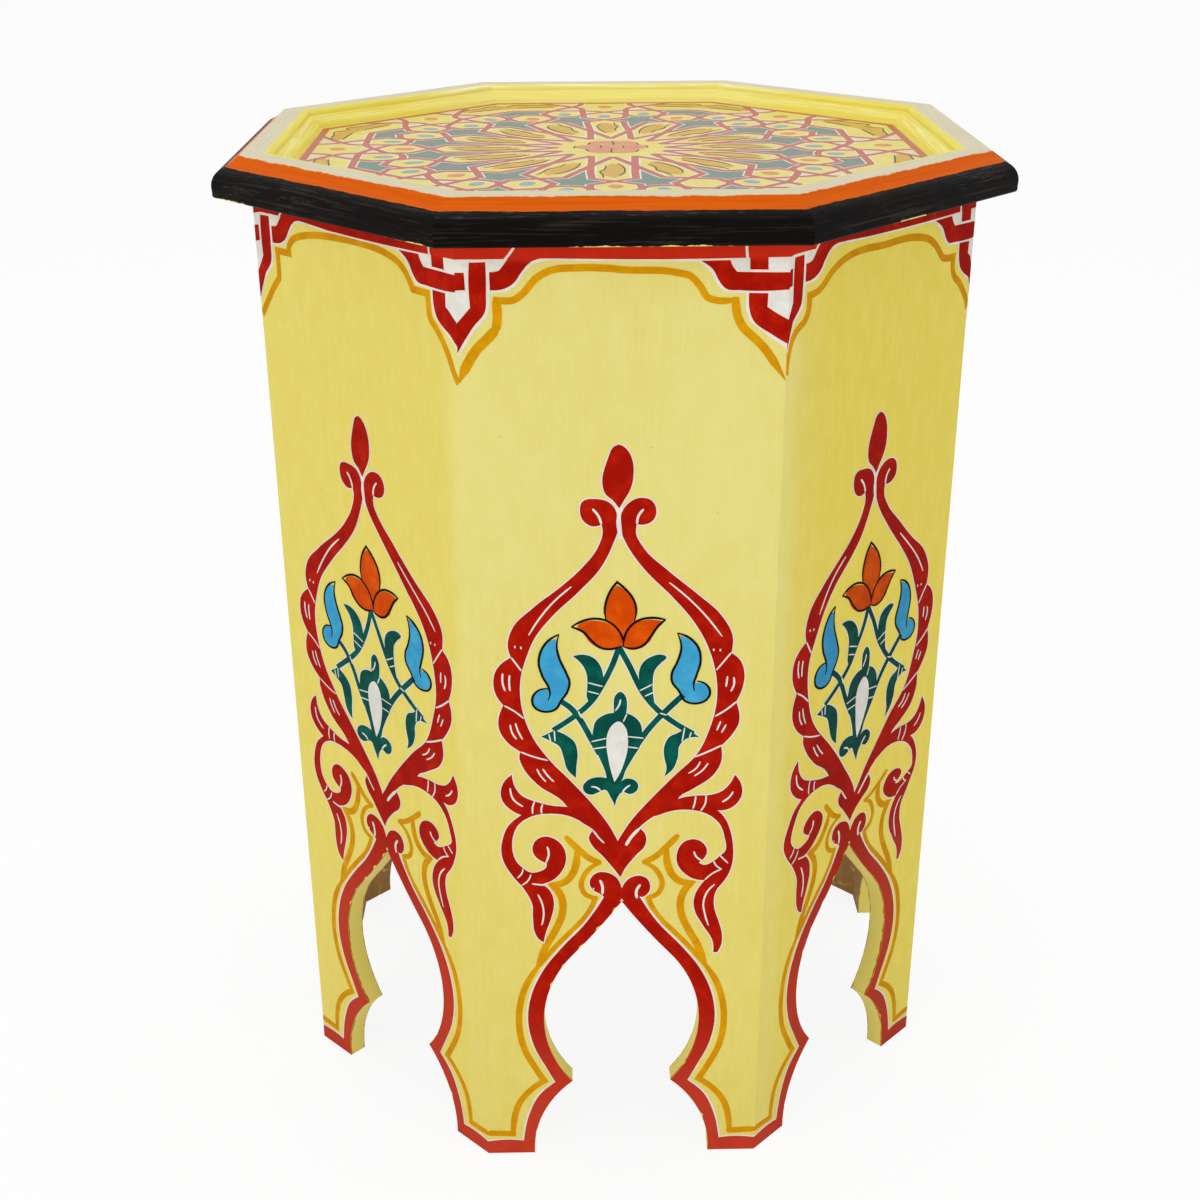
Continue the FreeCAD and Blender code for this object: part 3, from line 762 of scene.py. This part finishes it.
greenLights = [
    ([(-15.9, 281.3), (-9, 279.2)], 0.65), ([(-16, 276.8), (-10.7, 275.2)], 0.65),
    ([(8.2, 276.7), (14.2, 280)], 0.65), ([(10.7, 273.8), (14.9, 275.9)], 0.65),
    ([(-34.7, 254.4), (-33.8, 250.3)], 0.6), ([(-32.1, 256), (-31.8, 250.4)], 0.65),
    ([(29.8, 256.9), (28.6, 249.2)], 0.65), ([(32.9, 254.4), (31.9, 250.6)], 0.6),
    ([(-14.6, 249.9), (-7.2, 251.6)], 0.65), ([(-13.8, 246), (-6.9, 247)], 0.65),
    ([(2.8, 252.4), (10.3, 251.4)], 0.65), ([(2.8, 246.8), (7.8, 246)], 0.65),
    ([(-0.7, 272.3), (-1.1, 270), (-3.2, 266.3)], 0.8), ([(2.3, 264.4), (0.6, 260.4)], 0.7),
    ([(-14.8, 225.2), (-12.4, 224.8), (-10.2, 222.9)], 0.9), ([(4, 225.8), (1.9, 224.2), (0.2, 221.7)], 0.9),
    ([(-20.7, 266.4), (-19, 262.6)], 0.7), ([(17.8, 264.8), (21.2, 263.6)], 0.7),
]

# how far each board's medallion sits from the front one's (u, v), how freely it wanders, and its skew
sideDrifts = [((0, 0, 0), 0), ((4.7, 0, -4.4), 1, (-0.03, 0, 0.015)), ((-0.8, 0, -1.6), 1),
              ((0.6, 0, -2.8), 1), ((1.6, 0, 0.6), 1), ((-1.2, 0, -2.2), 1), ((0.4, 0, 1.2), 1),
              ((0.6, 0, -2.8), 1, (-0.018, 0, 0))]
sideRepeat = {"Wobble": 0.0055, "Wave": 22.0, "Plane": (1, 0, 1), "Middle": (0, 0, 0.29), "Rise From": 0.172,
              "Rise To": 0.2, "Fall From": 0.402, "Fall To": 0.424, "Seed": 1.3}
sideLifts = {"ochre": 0.10, "white": 0.14, "red": 0.20, "green": 0.19, "orange": 0.18, "blue": 0.18,
             "black": 0.25, "light": 0.27}
sideTips = {"ochre": (0.7, 0.6), "black": (0.5, 0.4), "light": (0.6, 0.5)}
whiteEdge = {"red": 0.82, "green": 0.55, "band": (0.9, 0.55),
             "foot": [(52.8, 9.3, 1), (60, 10), (cornerU, 9.1, 1)]}
redSwell = 0.2    # the red was laid a little over its white edge


def shapes(table):
    return [through(points) for points in table.values()]


def lines(table, key):
    return [stroke(points, width, *(tips or [sideTips[key]])) for points, width, *tips in table]


redOutlines = shapes(redShapes)
archLine = archEdge()
bandLine = through(bandInner, closed=False)
archBands = [bandLine + bandFoot + chipped(archLine, phase)[::-1] for phase in bandEdge["phases"]]
greenOutlines = shapes(greenShapes) + [stroke(points, width) for points, width in greenStrokes]
aside, rise = whiteEdge["band"]
whiteBand = [(p[0] + aside, p[1] + rise) + tuple(p[2:]) for p in bandInner[:-len(whiteEdge["foot"])]]
whiteBand = through(whiteBand + whiteEdge["foot"], closed=False) + bandLine[::-1]
whiteOutlines = [grown(line, whiteEdge["red"]) for line in redOutlines]
whiteOutlines += [grown(line, whiteEdge["green"]) for line in greenOutlines]
whiteOutlines += [whiteBand, flipped(whiteBand)]
whiteOutlines += [angular(points) for points in headWhite.values()]
whiteOutlines.append([Vector(p) for p in finialWhite])
archStrokes = archLines + [(mirrored(points), width) for points, width in archLines]

sideFilms = {
    "ochre": lines(ochreLines + archStrokes, "ochre"),
    "white": whiteOutlines,
    "red": [grown(line, redSwell) for line in redOutlines] + [archBands[0], flipped(archBands[1])]
           + shapes(strapShapes),
    "green": greenOutlines,
    "orange": shapes(petalFills),
    "blue": shapes(budFills),
    "black": lines(blackStrokes, "black"),
    "light": lines(lightStrokes + greenLights, "light") + [through(seedShape)],
}


def spreadHead(line, spread):
    moved = []
    for p in line:
        aside, rise = spread[0] if p.x < 0 else spread[1]
        reach = abs(p.x)
        inner = (reach - headSpread["from"]) / headSpread["over"]
        share = max(0.0, min(1.0, inner, (cornerU - reach) / headSpread["held"]))
        moved.append(Vector((p.x + aside * share, min(bandTop, p.y + rise * share))))
    return moved


def sidePiece(name, outlines, key, boards):
    drawing = film(name, outlines, sideLifts[key], onSide)
    paint = sidePaint["white" if key == "light" else key]
    addPiece(name, setRound(name, drawing, paint, sideDrifts, sideRepeat, boards), paint)


for key, outlines in sideFilms.items():
    heads = [line for line in outlines if line[0].y > headSpread["above"]]
    sidePiece("side_" + key + "_paint", [line for line in outlines if line not in heads], key, range(sides))
    for board, boards in headBoards.items():
        own = [spreadHead(line, headSpread[board]) for line in heads]
        if key == "ochre" and board in headOchre:
            own = [stroke(*headOchre[board])]
        if own:
            sidePiece(board + "head_" + key + "_paint", own, key, boards)
print("side ornament set round", sides, "boards")


# star on the top: r out from the middle along a ray, t to the left of it

star = {"petal": 10.5, "strap": 3.6, "edge": 0.8, "ring": 124.5, "border": 152.2, "ground": 154.2,
        "ink": 0.8, "inkTips": (0.4, 0.4), "strapStep": 3, "cellStep": 5, "groundStep": 6,
        "offCentre": -1.4, "offBeyond": 70.0, "driftX": 1.0, "driftY": -2.4,
        "heldFrom": 126.0, "heldTo": 149.0, "wander": 1.3, "wave": 24.0, "seed": 33,
        "lifts": {"ground": 0.06, "cells": 0.09, "edges": 0.12, "straps": 0.16, "marks": 0.13, "lines": 0.18}}
plainRepeat = {"Wobble": 0.0, "Wave": 1.0, "Plane": (1, 1, 0), "Middle": (0, 0, 0), "Rise From": -2.0,
               "Rise To": -1.0, "Fall From": 2.0, "Fall To": 3.0, "Seed": 0.0}
plainDrifts = [((0, 0, 0), 0)] * sides
facing = -90                       # the ray towards the front board
rayStep = 22.5
corner = facing + rayStep
bisectors = (facing + rayStep / 2, facing - rayStep / 2)
lean = math.radians(rayStep)


def onRay(points, angle, flip=1):
    c, s = math.cos(math.radians(angle)), math.sin(math.radians(angle))
    return [(p[0] * c - p[1] * flip * s, p[0] * s + p[1] * flip * c) + tuple(p[2:]) for p in points]


def both(half):
    # closes a half outline given on the left of its ray
    return half + [(p[0], -p[1]) for p in half[::-1] if abs(p[1]) > 0.01]


def cell(points, angle, flip=1):
    return angular(onRay(points, angle, flip), star["cellStep"])


def smooth(points, angle):
    return through(onRay(points, angle))


def inked(points, angle, flip=1):
    return stroke(onRay(points, angle, flip), star["ink"], star["inkTips"])


# straps, each drawn on both sides of its ray: sixteen round the petals, eight out to the border
petalStrap = [(star["petal"] / math.tan(lean), star["petal"], 1), (84, 10.2, 1), (91, 0, 1),
              (99.4, -11.4, 1), (110.5, -12, 1)]
linkStrap = [(102.5, 20.4), (104.6, 14.6, 1), (112.4, 10, 1), (118.5, 0)]
ringStraps = [
    [(118.5, 0), (121.5, 5, 1), (star["ring"], 12, 1), (star["ring"], star["ring"] * math.tan(lean))],
    [(110.5, 12, 1), (124, 12.8, 1), (132.5, 13.6), (138.5, 19.5), (147.5, 32), (152, 39)],
    [(106.5, 31.2, 1), (115, 34, 1), (124, 29.4, 1), (134, 22.5), (139, 18), (144, 15), (152, 14)],
]
edgeReach = (star["border"] + star["strap"] / 2) * math.tan(lean)
edgeStrip = [(star["border"], -edgeReach), (star["border"], edgeReach)]


def strapLines(width):
    drawn = []
    for k in range(2 * sides):
        around = [petalStrap, linkStrap] + (ringStraps if k % 2 == 0 else [])
        drawn += [stroke(onRay(points, k * rayStep, flip), width, step=star["strapStep"])
                  for points in around for flip in (1, -1)]
    for k in range(sides):
        drawn.append(stroke(onRay(edgeStrip, k * 2 * rayStep), star["strap"], step=star["cellStep"]))
    return drawn


dart = [(54, 0), (84.4, 6.3), (89.3, 17.7), (99.7, 8.2), (104.5, 6), (104.5, 0)]
cornerDart = [(118.5, 0), (113, 8.5), (110.5, 11.9), (119, 11.8), (125.4, 19.9), (134.6, 0)]
creamCells = [[(118.5, 0), (113, 8.5), (110.5, 11.9), (124, 13), (121.5, 4.5)],
              [(124.5, 13), (132.5, 14), (135.5, 16.5), (137, 19.5), (128.5, 26.2), (124.5, 29)],
              [(139.5, 18.5), (144, 15), (152, 14), (152, 39), (147.5, 32), (142.5, 25)]]
petalLeaf = [(47, 0.6), (54, 3.8), (63, 4.9), (72, 4.2), (81.4, 0.6, 1), (75, -4), (66, -4.9), (56, -3.2)]
cornerLeaf = [(141, -35, 1), (147.5, -26), (151, -15), (154, -5), (154, 5), (151, 15), (147.5, 26),
    (141, 35, 1), (140.5, 24), (142.5, 13), (144.5, 4), (144.5, -4), (142.5, -13), (140.5, -24)]
petalInk = [[(46, 2), (54, 4.6), (62, 5.6), (70, 5.2), (78, 2.4)],
            [(51, -3.4), (60, -3.6), (67, -5.8), (74, -4.8), (82, -4.8)]]
cornerInk = [[(139.6, 26), (142.4, 15), (144.6, 5)], [(145.6, 29), (151, 16), (154.8, 5), (150, 1.6)]]
# dots: near end, middle and far end along the ray, half width; the petals' dots change colour from ray to ray
dotSizes = {"petal": (98.6, 103.6, 108.4, 3.6), "link": (109, 114, 118.6, 3.3),
            "border": (133.4, 138, 142.6, 4.2)}
dotRays = {"orange": (180, 225, 270, 315, 337.5, 67.5, 112.5, 22.5),
           "blue": (202.5, 247.5, 0, 45, 90, 135, 157.5)}
rosette = [(18.2, 2.6), (13.4, 8, 1), (12.8, 15), (9, 19.4), (3.4, 20), (0.4, 18.6, 1), (-3.6, 20.2),
    (-8.6, 19.4), (-11.4, 15.6), (-12.6, 8.4, 1), (-19, 2), (-13.4, -4.4, 1), (-12.4, -11), (-9, -15),
    (-4, -16), (-0.8, -15, 1), (4, -16), (9.4, -14.6), (12.6, -9.6), (13.4, -3.6, 1)]
rosetteTicks = [
    [(-18.8, -1.5), (-19.2, 2), (-18.4, 5)], [(17.6, -0.5), (18, 3), (17.2, 6)],
    [(0.4, 8), (0.6, 14), (0.2, 20)], [(-0.8, -3), (-1, -9), (-0.6, -15)], [(-6.2, 0), (-6, 4), (-6.4, 7)],
    [(5, 0), (5.2, 3), (4.8, 5.6)], [(-12.4, 9), (-11.4, 12), (-11.2, 16)],
    [(12.6, 15), (13.2, 12), (13.4, 8)], [(-13.4, -4), (-12.8, -8), (-11.6, -11)],
    [(12.8, -8), (12, -11), (11, -13)],
]


def dot(kind, ray):
    near, middle, far, half = dotSizes[kind]
    return smooth([(far, 0), (middle, half), (near, 0), (middle, -half)], ray)


leaves = [smooth(petalLeaf, ray) for ray in (facing, corner)] + [smooth(cornerLeaf, corner)]
inkLines = [inked(points, ray) for ray in (facing, corner) for points in petalInk]
inkLines += [inked(points, corner, flip) for flip in (1, -1) for points in cornerInk]
dots = {colour: [dot("petal", ray) for ray in rays] for colour, rays in dotRays.items()}
dots["blue"] += [dot("link", rayStep * (k + 0.5)) for k in range(2 * sides)]
dots["orange"] += [dot("border", 2 * rayStep * k) for k in range(sides)]
greenCells = [cell(both(dart), ray) for ray in bisectors] + [cell(both(cornerDart), corner)]
cream = [cell(points, facing, flip) for points in creamCells for flip in (1, -1)]
groundReach = star["ground"] / math.cos(lean)
ground = [onRay([(groundReach, 0, 1)], rayStep + 2 * rayStep * k)[0] for k in range(sides)]
noise.seed_set(star["seed"])     # the same wander in every run


def settled(mesh):
    # drawn by hand and off centre, but its outer ring meets the moulding
    for vertex in mesh.vertices:
        x, y = abs(vertex.co.x) / mm, abs(vertex.co.y) / mm
        reach = max(x, y, (x + y) * math.sqrt(0.5))
        hold = min(1.0, max(0.0, (reach - star["heldFrom"]) / (star["heldTo"] - star["heldFrom"])))
        shift = noise.noise_vector(vertex.co * star["wave"]) * star["wander"]
        outward = min(1.0, reach / star["offBeyond"])
        shift.x += star["offCentre"] * outward + star["driftX"] * (1 - outward)
        shift.y += star["driftY"]
        vertex.co.x += shift.x * (1 - hold) * mm
        vertex.co.y += shift.y * (1 - hold) * mm
    return mesh


def topPiece(name, outlines, level, colour, repeated=False):
    mesh = film(name, outlines, star["lifts"][level], onTop)
    if repeated:
        mesh = setRound(name, mesh, topPaint[colour], plainDrifts, plainRepeat)
    addPiece(name, settled(mesh), topPaint[colour])


topPiece("star_yellow_ground", [through(ground, step=star["groundStep"])], "ground", "yellow")
topPiece("star_green_cells", greenCells, "cells", "green", True)
topPiece("star_cream_cells", cream, "cells", "cream", True)
topPiece("star_white_edges", strapLines(star["strap"] + 2 * star["edge"]), "edges", "white")
topPiece("star_red_straps", strapLines(star["strap"]), "straps", "red")
topPiece("star_ochre_leaves", leaves, "marks", "ochre", True)
topPiece("star_leaf_lines", inkLines, "lines", "black", True)
for colour, outlines in dots.items():
    topPiece("star_" + colour + "_dots", outlines, "marks", colour)
topPiece("star_rosette", [through(rosette)], "marks", "salmon")
topPiece("star_rosette_lines", [inked(points, 0) for points in rosetteTicks], "lines", "black")
print("star laid out on the top")


# finishes of the joiner's pieces

bodyCoat = {"brush": (0.8, 3.0, 0.62, (1, 1, 0.06)), "mottle": (0.12, 4.0, 0.62, (1, 1, 0.6)),
            "broad": (0.02, 2.0, 0.5, (1, 1, 0.4)), "ragged": (0.16, 3.0, 0.6),
            "streak": (0.36, 0.64), "patch": (0.4, 0.75), "patchShare": 0.35,
            "behind": (1, 11), "behindDrift": 4,                     # fuller coat behind the front board,
            "low": (90.0, 340.0), "lowDrift": 120, "lowShare": 0.7,  # and towards the feet
            "speckScale": 0.05, "speck": (0.014, 0.03), "speckShare": 0.4, "speckTone": tint(120, 104, 50),
            "sawn": (-0.9, -0.3), "sawnLightShare": 0.85,                 # out from the face, as drag and bare
            "drag": (0.6, 1.3), "dragRagged": 3.2, "dragEnd": (-0.12, -0.04), "dragShare": 0.9,
            "bare": (-8.6, -8.2), "bareRagged": 2.4, "bump": (0.12, 0.26)}


def fromFace(value, reach):
    return between(value, faceOut + reach[0], faceOut + reach[1])


def bodyMaterial():
    material, shader, place = newMaterial("yellow_body_paint", Specular_IOR_Level=0.08)
    out, _, up, _ = folded(place)
    grains = ("brush", "mottle", "broad", "ragged")
    brush, mottle, broad, ragged = [clouds(place, *bodyCoat[key]) for key in grains]
    streak = between(brush * 0.4 + mottle * 0.6, *bodyCoat["streak"])
    colour = over(streak, *yellowPaint["front"])
    colour = over(between(broad, *bodyCoat["patch"]) * bodyCoat["patchShare"], colour, yellowPaint["pale"])
    # the coat is thinner and paler on the front board than on the others
    near, far = bodyCoat["behind"]
    fuller = between(axis(place, 1) + (broad - 0.5) * bodyCoat["behindDrift"], near - faceOut, far - faceOut)
    high = between(up + (broad - 0.5) * bodyCoat["lowDrift"], *bodyCoat["low"])
    fuller = most(fuller, (1 - high) * bodyCoat["lowShare"])
    colour = over(fuller, colour, over(streak, *yellowPaint["side"]))
    # painted shade: the board to the right gets a deeper, darker yellow
    colour = over(outboard(place)[0], colour, over(streak, *yellowPaint["shadedRight"]))
    speck = {"Vector": place, "Scale": bodyCoat["speckScale"], "Randomness": 1.0}
    speck = 1 - between(place.node("ShaderNodeTexVoronoi", {}, speck), *bodyCoat["speck"])
    colour = over(speck * bodyCoat["speckShare"], colour, bodyCoat["speckTone"])
    # sawn edges of the arches: painted paler, as painted light where they lie in shade, with the red band
    # dragged over the front arris
    sawn = 1 - fromFace(out, bodyCoat["sawn"])
    colour = over(sawn * bodyCoat["sawnLightShare"], colour, yellowPaint["edge"])
    dragged = fromFace(out + ragged * bodyCoat["dragRagged"], bodyCoat["drag"])
    dragged = dragged * (1 - fromFace(out, bodyCoat["dragEnd"]))
    colour = over(dragged * bodyCoat["dragShare"], colour, filmPaints["red"]["colour"])
    # the back of the boards was never painted, apart from drips past the edge
    bare = 1 - fromFace(out + ragged * bodyCoat["bareRagged"], bodyCoat["bare"])
    colour = over(bare, colour, pine(place, pineWood["boardGrain"]))
    roughness = brush * 0.22 + 0.36 + bare * 0.25
    dress(shader, colour, roughness, brush * 0.5 + mottle * 0.3 + ragged * 0.2, *bodyCoat["bump"])
    return material


# paints of the moulding, the ground and the brushed tone of each, and where its bands meet, out from the axis
rimPaint = {"cream": (tint(206, 196, 162), tint(216, 208, 180)), "pale": tint(246, 242, 192),
            "orange": (tint(203, 82, 1), tint(217, 97, 2)), "black": (tint(13, 11, 10), tint(46, 38, 32)),
            "yellow": (tint(227, 210, 84), tint(234, 221, 104)), "gloss": 0.45, "bump": (0.25, 0.4)}
rimBands = {"ridgeHighlight": (161.0, 0, 1.2, 0.3), "toCream": (164.6, -0.3, 0.1, 0.5),      # where, from, to, wobble
            "toOrange": (175.8, -0.2, 0.15, 0.6), "toBlack": (181.9, -0.15, 0.15, 0.6),
            "slopeSheen": (156.4, 158.0, 159.4, 160.8), "slopeWobble": 0.4, "slopeShare": 0.45, "missedRise": 0.8,
            "back": (110.0, 150.0), "underside": (178.0, 182.0), "lowerArris": (0.05, 0.25)}
rimGrain = {"wander": (0.05, 3.0, 0.55), "wanderBy": 3.0, "jags": (0.3, 2.0, 0.5), "jagsBy": 1.1,
            "brush": (0.9, 3.0, 0.6), "brushSlow": 0.03, "broad": (0.12, 2.0, 0.5), "broadSlow": 0.2,
            "flecks": (1.1, 3.0, 0.7), "flecksSlow": 0.09, "streak": (0.32, 0.68), "paintedSheen": (0.42, 0.6),
            "worn": (0.5, 0.68), "missed": (0.7, 0.82), "shine": (0.58, 0.78)}


def rimMaterial():
    material, shader, place = newMaterial("rim_paint", Specular_IOR_Level=0.03, Coat_Roughness=0.16)
    out, _, up, _ = folded(place)
    wander, jags = [clouds(place, *rimGrain[key]) for key in ("wander", "jags")]
    brush, broad, flecks = [clouds(lengthwise(place, rimGrain[key + "Slow"]), *rimGrain[key])
                            for key in ("brush", "broad", "flecks")]
    wobble = (wander - 0.5) * rimGrain["wanderBy"] + (jags - 0.5) * rimGrain["jagsBy"]

    def past(key):
        edge, start, end, loose = rimBands[key]
        return between(out + wobble * loose, edge + start, edge + end)

    streak = between(brush, *rimGrain["streak"])
    inner = over(streak, *rimPaint["yellow"])
    # painted highlights: pale flecks on the ridge at the back, a soft pale band down the slope elsewhere
    atBack = between(axis(place, 1), *rimBands["back"])
    low, lowFull, highFull, high = rimBands["slopeSheen"]
    loose = out + wobble * rimBands["slopeWobble"]
    slopeSheen = between(loose, low, lowFull) * (1 - between(loose, highFull, high))
    inner = over(slopeSheen * (1 - atBack) * streak * rimBands["slopeShare"], inner, rimPaint["pale"])
    ridgeHighlight = past("ridgeHighlight") * atBack * between(brush, *rimGrain["paintedSheen"]) * 0.9
    inner = over(most(ridgeHighlight, atBack * 0.2), inner, rimPaint["pale"])
    toBlack = past("toBlack")
    colour = over(past("toCream"), inner, over(streak, *rimPaint["cream"]))
    colour = over(past("toOrange"), colour, over(streak * 0.7 + broad * 0.3, *rimPaint["orange"]))
    # brush streaks in the black, partly painted sheen
    black = over(between(brush * 0.8 + broad * 0.2, *rimGrain["worn"]), *rimPaint["black"])
    colour = over(toBlack, colour, black)
    # the yellow of the body runs on under the nose, and shows in places on its lower arris
    missed = between(broad + jags * 0.3, *rimGrain["missed"])
    start, end = rimBands["lowerArris"]
    under = 1 - between(up - missed * rimBands["missedRise"], faceTop + start, faceTop + end)
    under = under * most(missed, 1 - between(out, *rimBands["underside"]))
    colour = over(under, colour, yellowPaint["front"][1])
    dress(shader, colour, brush * 0.3 + 0.3, brush * 0.7 + jags * 0.3, *rimPaint["bump"])
    # the black was put on thick, and shines in flecks
    shine = toBlack * between(flecks + (broad - 0.5) * 0.4, *rimGrain["shine"]) * rimPaint["gloss"]
    shine.tree.links.new(shine.socket, shader.inputs["Coat Weight"])
    return material


plainFinish = {"board": (0.5, 3.0, 0.6, (0.1, 1, 1)), "boardStreak": (0.3, 0.7), "boardPine": (0.06, 1, 1),
               "boardEdge": (-0.6, -0.3), "boardBump": (0.15, 0.35),    # edge: where the paint ends
               "wood": (0.9, 3.0, 0.6), "woodBump": (0.3, 0.5), "cleat": (1, 0.05, 1), "block": (1, 1, 0.05),
               "zinc": (0.8, 3.0, 0.6), "zincTones": (tint(150, 150, 146), tint(196, 194, 186)),
               "zincBump": (0.05, 0.3)}


def boardMaterial():
    material, shader, place = newMaterial("top_board_paint", Specular_IOR_Level=0.5)
    brush = clouds(place, *plainFinish["board"])
    colour = over(between(brush, *plainFinish["boardStreak"]), *yellowPaint["front"])
    start, end = plainFinish["boardEdge"]
    bare = 1 - between(axis(place, 2), fieldLevel + start, fieldLevel + end)
    colour = over(bare, colour, pine(place, plainFinish["boardPine"]))
    dress(shader, colour, brush * 0.2 + 0.35, brush, *plainFinish["boardBump"])
    return material


def woodMaterial(name, along):
    material, shader, place = newMaterial(name, Specular_IOR_Level=0.3)
    flat = lengthwise(place, 1.0)
    grain = clouds(flat, *plainFinish["wood"], along)
    dress(shader, pine(flat, along), grain * 0.2 + 0.6, grain, *plainFinish["woodBump"])
    return material


def steelMaterial():
    material, shader, place = newMaterial("zinc_steel", Metallic=1.0)
    wear = clouds(place, *plainFinish["zinc"])
    dress(shader, over(wear, *plainFinish["zincTones"]), wear * 0.3 + 0.25, wear, *plainFinish["zincBump"])
    return material


finishes = {"side_panel": bodyMaterial(), "rim_moulding": rimMaterial(), "top_board": boardMaterial(),
            "top_cleat": woodMaterial("pine_cleat", plainFinish["cleat"]),
            "corner_block": woodMaterial("pine_block", plainFinish["block"]), "cleat_screws": steelMaterial()}
finishes["top_screws"] = finishes["cleat_screws"]
finishes["rim_nails"] = finishes["rim_moulding"]    # heads painted over with the nose
for name, node in cad.items():
    kind = name if name in finishes else name.rsplit("_", 1)[0]
    node.data.materials.clear()
    node.data.materials.append(finishes[kind])
print("finishes on", len(cad), "solids")


# studio

studio = {"floorSize": 40.0, "floorTone": (0.96, 0.96, 0.96, 1), "floorWhite": 0.9, "sky": 0.65,
          "camera": {"place": (-0.0231, -0.8861, 0.6451), "pitch": 0.4225, "yaw": -0.0181, "roll": -0.0042,
                     "lens": 51.38, "sensor": 36.0},
          "lamps": {"key": ((-2.2, -1.9, 1.2), 1.8, 24.0), "fill": ((1.9, -1.8, 0.8), 1.8, 12.5),
                    "top": ((0.0, 0.3, 2.6), 1.6, 16.0)},     # place, size, power
          "aim": (0, 0, 0.28)}


def rayTone(start):
    # 1 for rays that should see the plain white surroundings
    path = start.tree.nodes.new("ShaderNodeLightPath")
    labels = ("Is Camera Ray", "Is Glossy Ray", "Is Transmission Ray")
    seen, glossy, sent = [Tone(start.tree, path.outputs[label]) for label in labels]
    return most(most(seen, glossy), sent)


def makeFloor():
    half = studio["floorSize"] / 2
    mesh = bpy.data.meshes.new("floor")
    corners = [(-half, -half, 0), (half, -half, 0), (half, half, 0), (-half, half, 0)]
    mesh.from_pydata(corners, [], [(0, 1, 2, 3)])
    floor = bpy.data.objects.new("floor", mesh)
    bpy.context.scene.collection.objects.link(floor)
    material = bpy.data.materials.new("pale_floor")
    material.use_nodes = True
    tree = material.node_tree
    tree.nodes.clear()
    start = Tone(tree)
    matt = start.node("ShaderNodeBsdfDiffuse", {}, {"Color": studio["floorTone"]})
    white = start.node("ShaderNodeEmission", {}, {"Strength": 1.0})
    mixed = {0: rayTone(start) * studio["floorWhite"], 1: matt, 2: white}
    mixed = start.node("ShaderNodeMixShader", {}, mixed)
    out = tree.nodes.new("ShaderNodeOutputMaterial")
    tree.links.new(mixed.socket, out.inputs["Surface"])
    mesh.materials.append(material)


def makeWorld():
    world = bpy.data.worlds.new("studio")
    world.use_nodes = True
    tree = world.node_tree
    background = tree.nodes["Background"]
    background.inputs["Color"].default_value = (1, 1, 1, 1)
    strength = rayTone(Tone(tree)) * (1 - studio["sky"]) + studio["sky"]
    tree.links.new(strength.socket, background.inputs["Strength"])
    bpy.context.scene.world = world


def makeLamps():
    for name, (place, size, power) in studio["lamps"].items():
        lamp = bpy.data.lights.new(name, "AREA")
        lamp.size = size
        lamp.energy = power
        holder = bpy.data.objects.new(name, lamp)
        holder.location = place
        ahead = Vector(studio["aim"]) - Vector(place)
        holder.rotation_euler = ahead.to_track_quat("-Z", "Y").to_euler()
        bpy.context.scene.collection.objects.link(holder)


def makeCamera():
    view = studio["camera"]
    pitch, yaw, roll = view["pitch"], view["yaw"], view["roll"]
    ahead = Vector((-math.sin(yaw) * math.cos(pitch), math.cos(yaw) * math.cos(pitch), -math.sin(pitch)))
    right = Vector((math.cos(yaw), math.sin(yaw), 0))
    up = right.cross(ahead)
    tilted = right * math.cos(roll) + up * math.sin(roll)
    upright = up * math.cos(roll) - right * math.sin(roll)
    lens = bpy.data.cameras.new("camera")
    lens.sensor_width = view["sensor"]
    lens.lens = view["lens"]
    camera = bpy.data.objects.new("camera", lens)
    turn = Matrix((tilted, upright, -ahead)).transposed().to_4x4()
    camera.matrix_world = Matrix.Translation(view["place"]) @ turn
    bpy.context.scene.collection.objects.link(camera)
    bpy.context.scene.camera = camera


makeFloor()
makeWorld()
makeLamps()
makeCamera()
bpy.context.scene.view_settings.view_transform = "Standard"
print("studio ready")

bpy.context.view_layer.update()
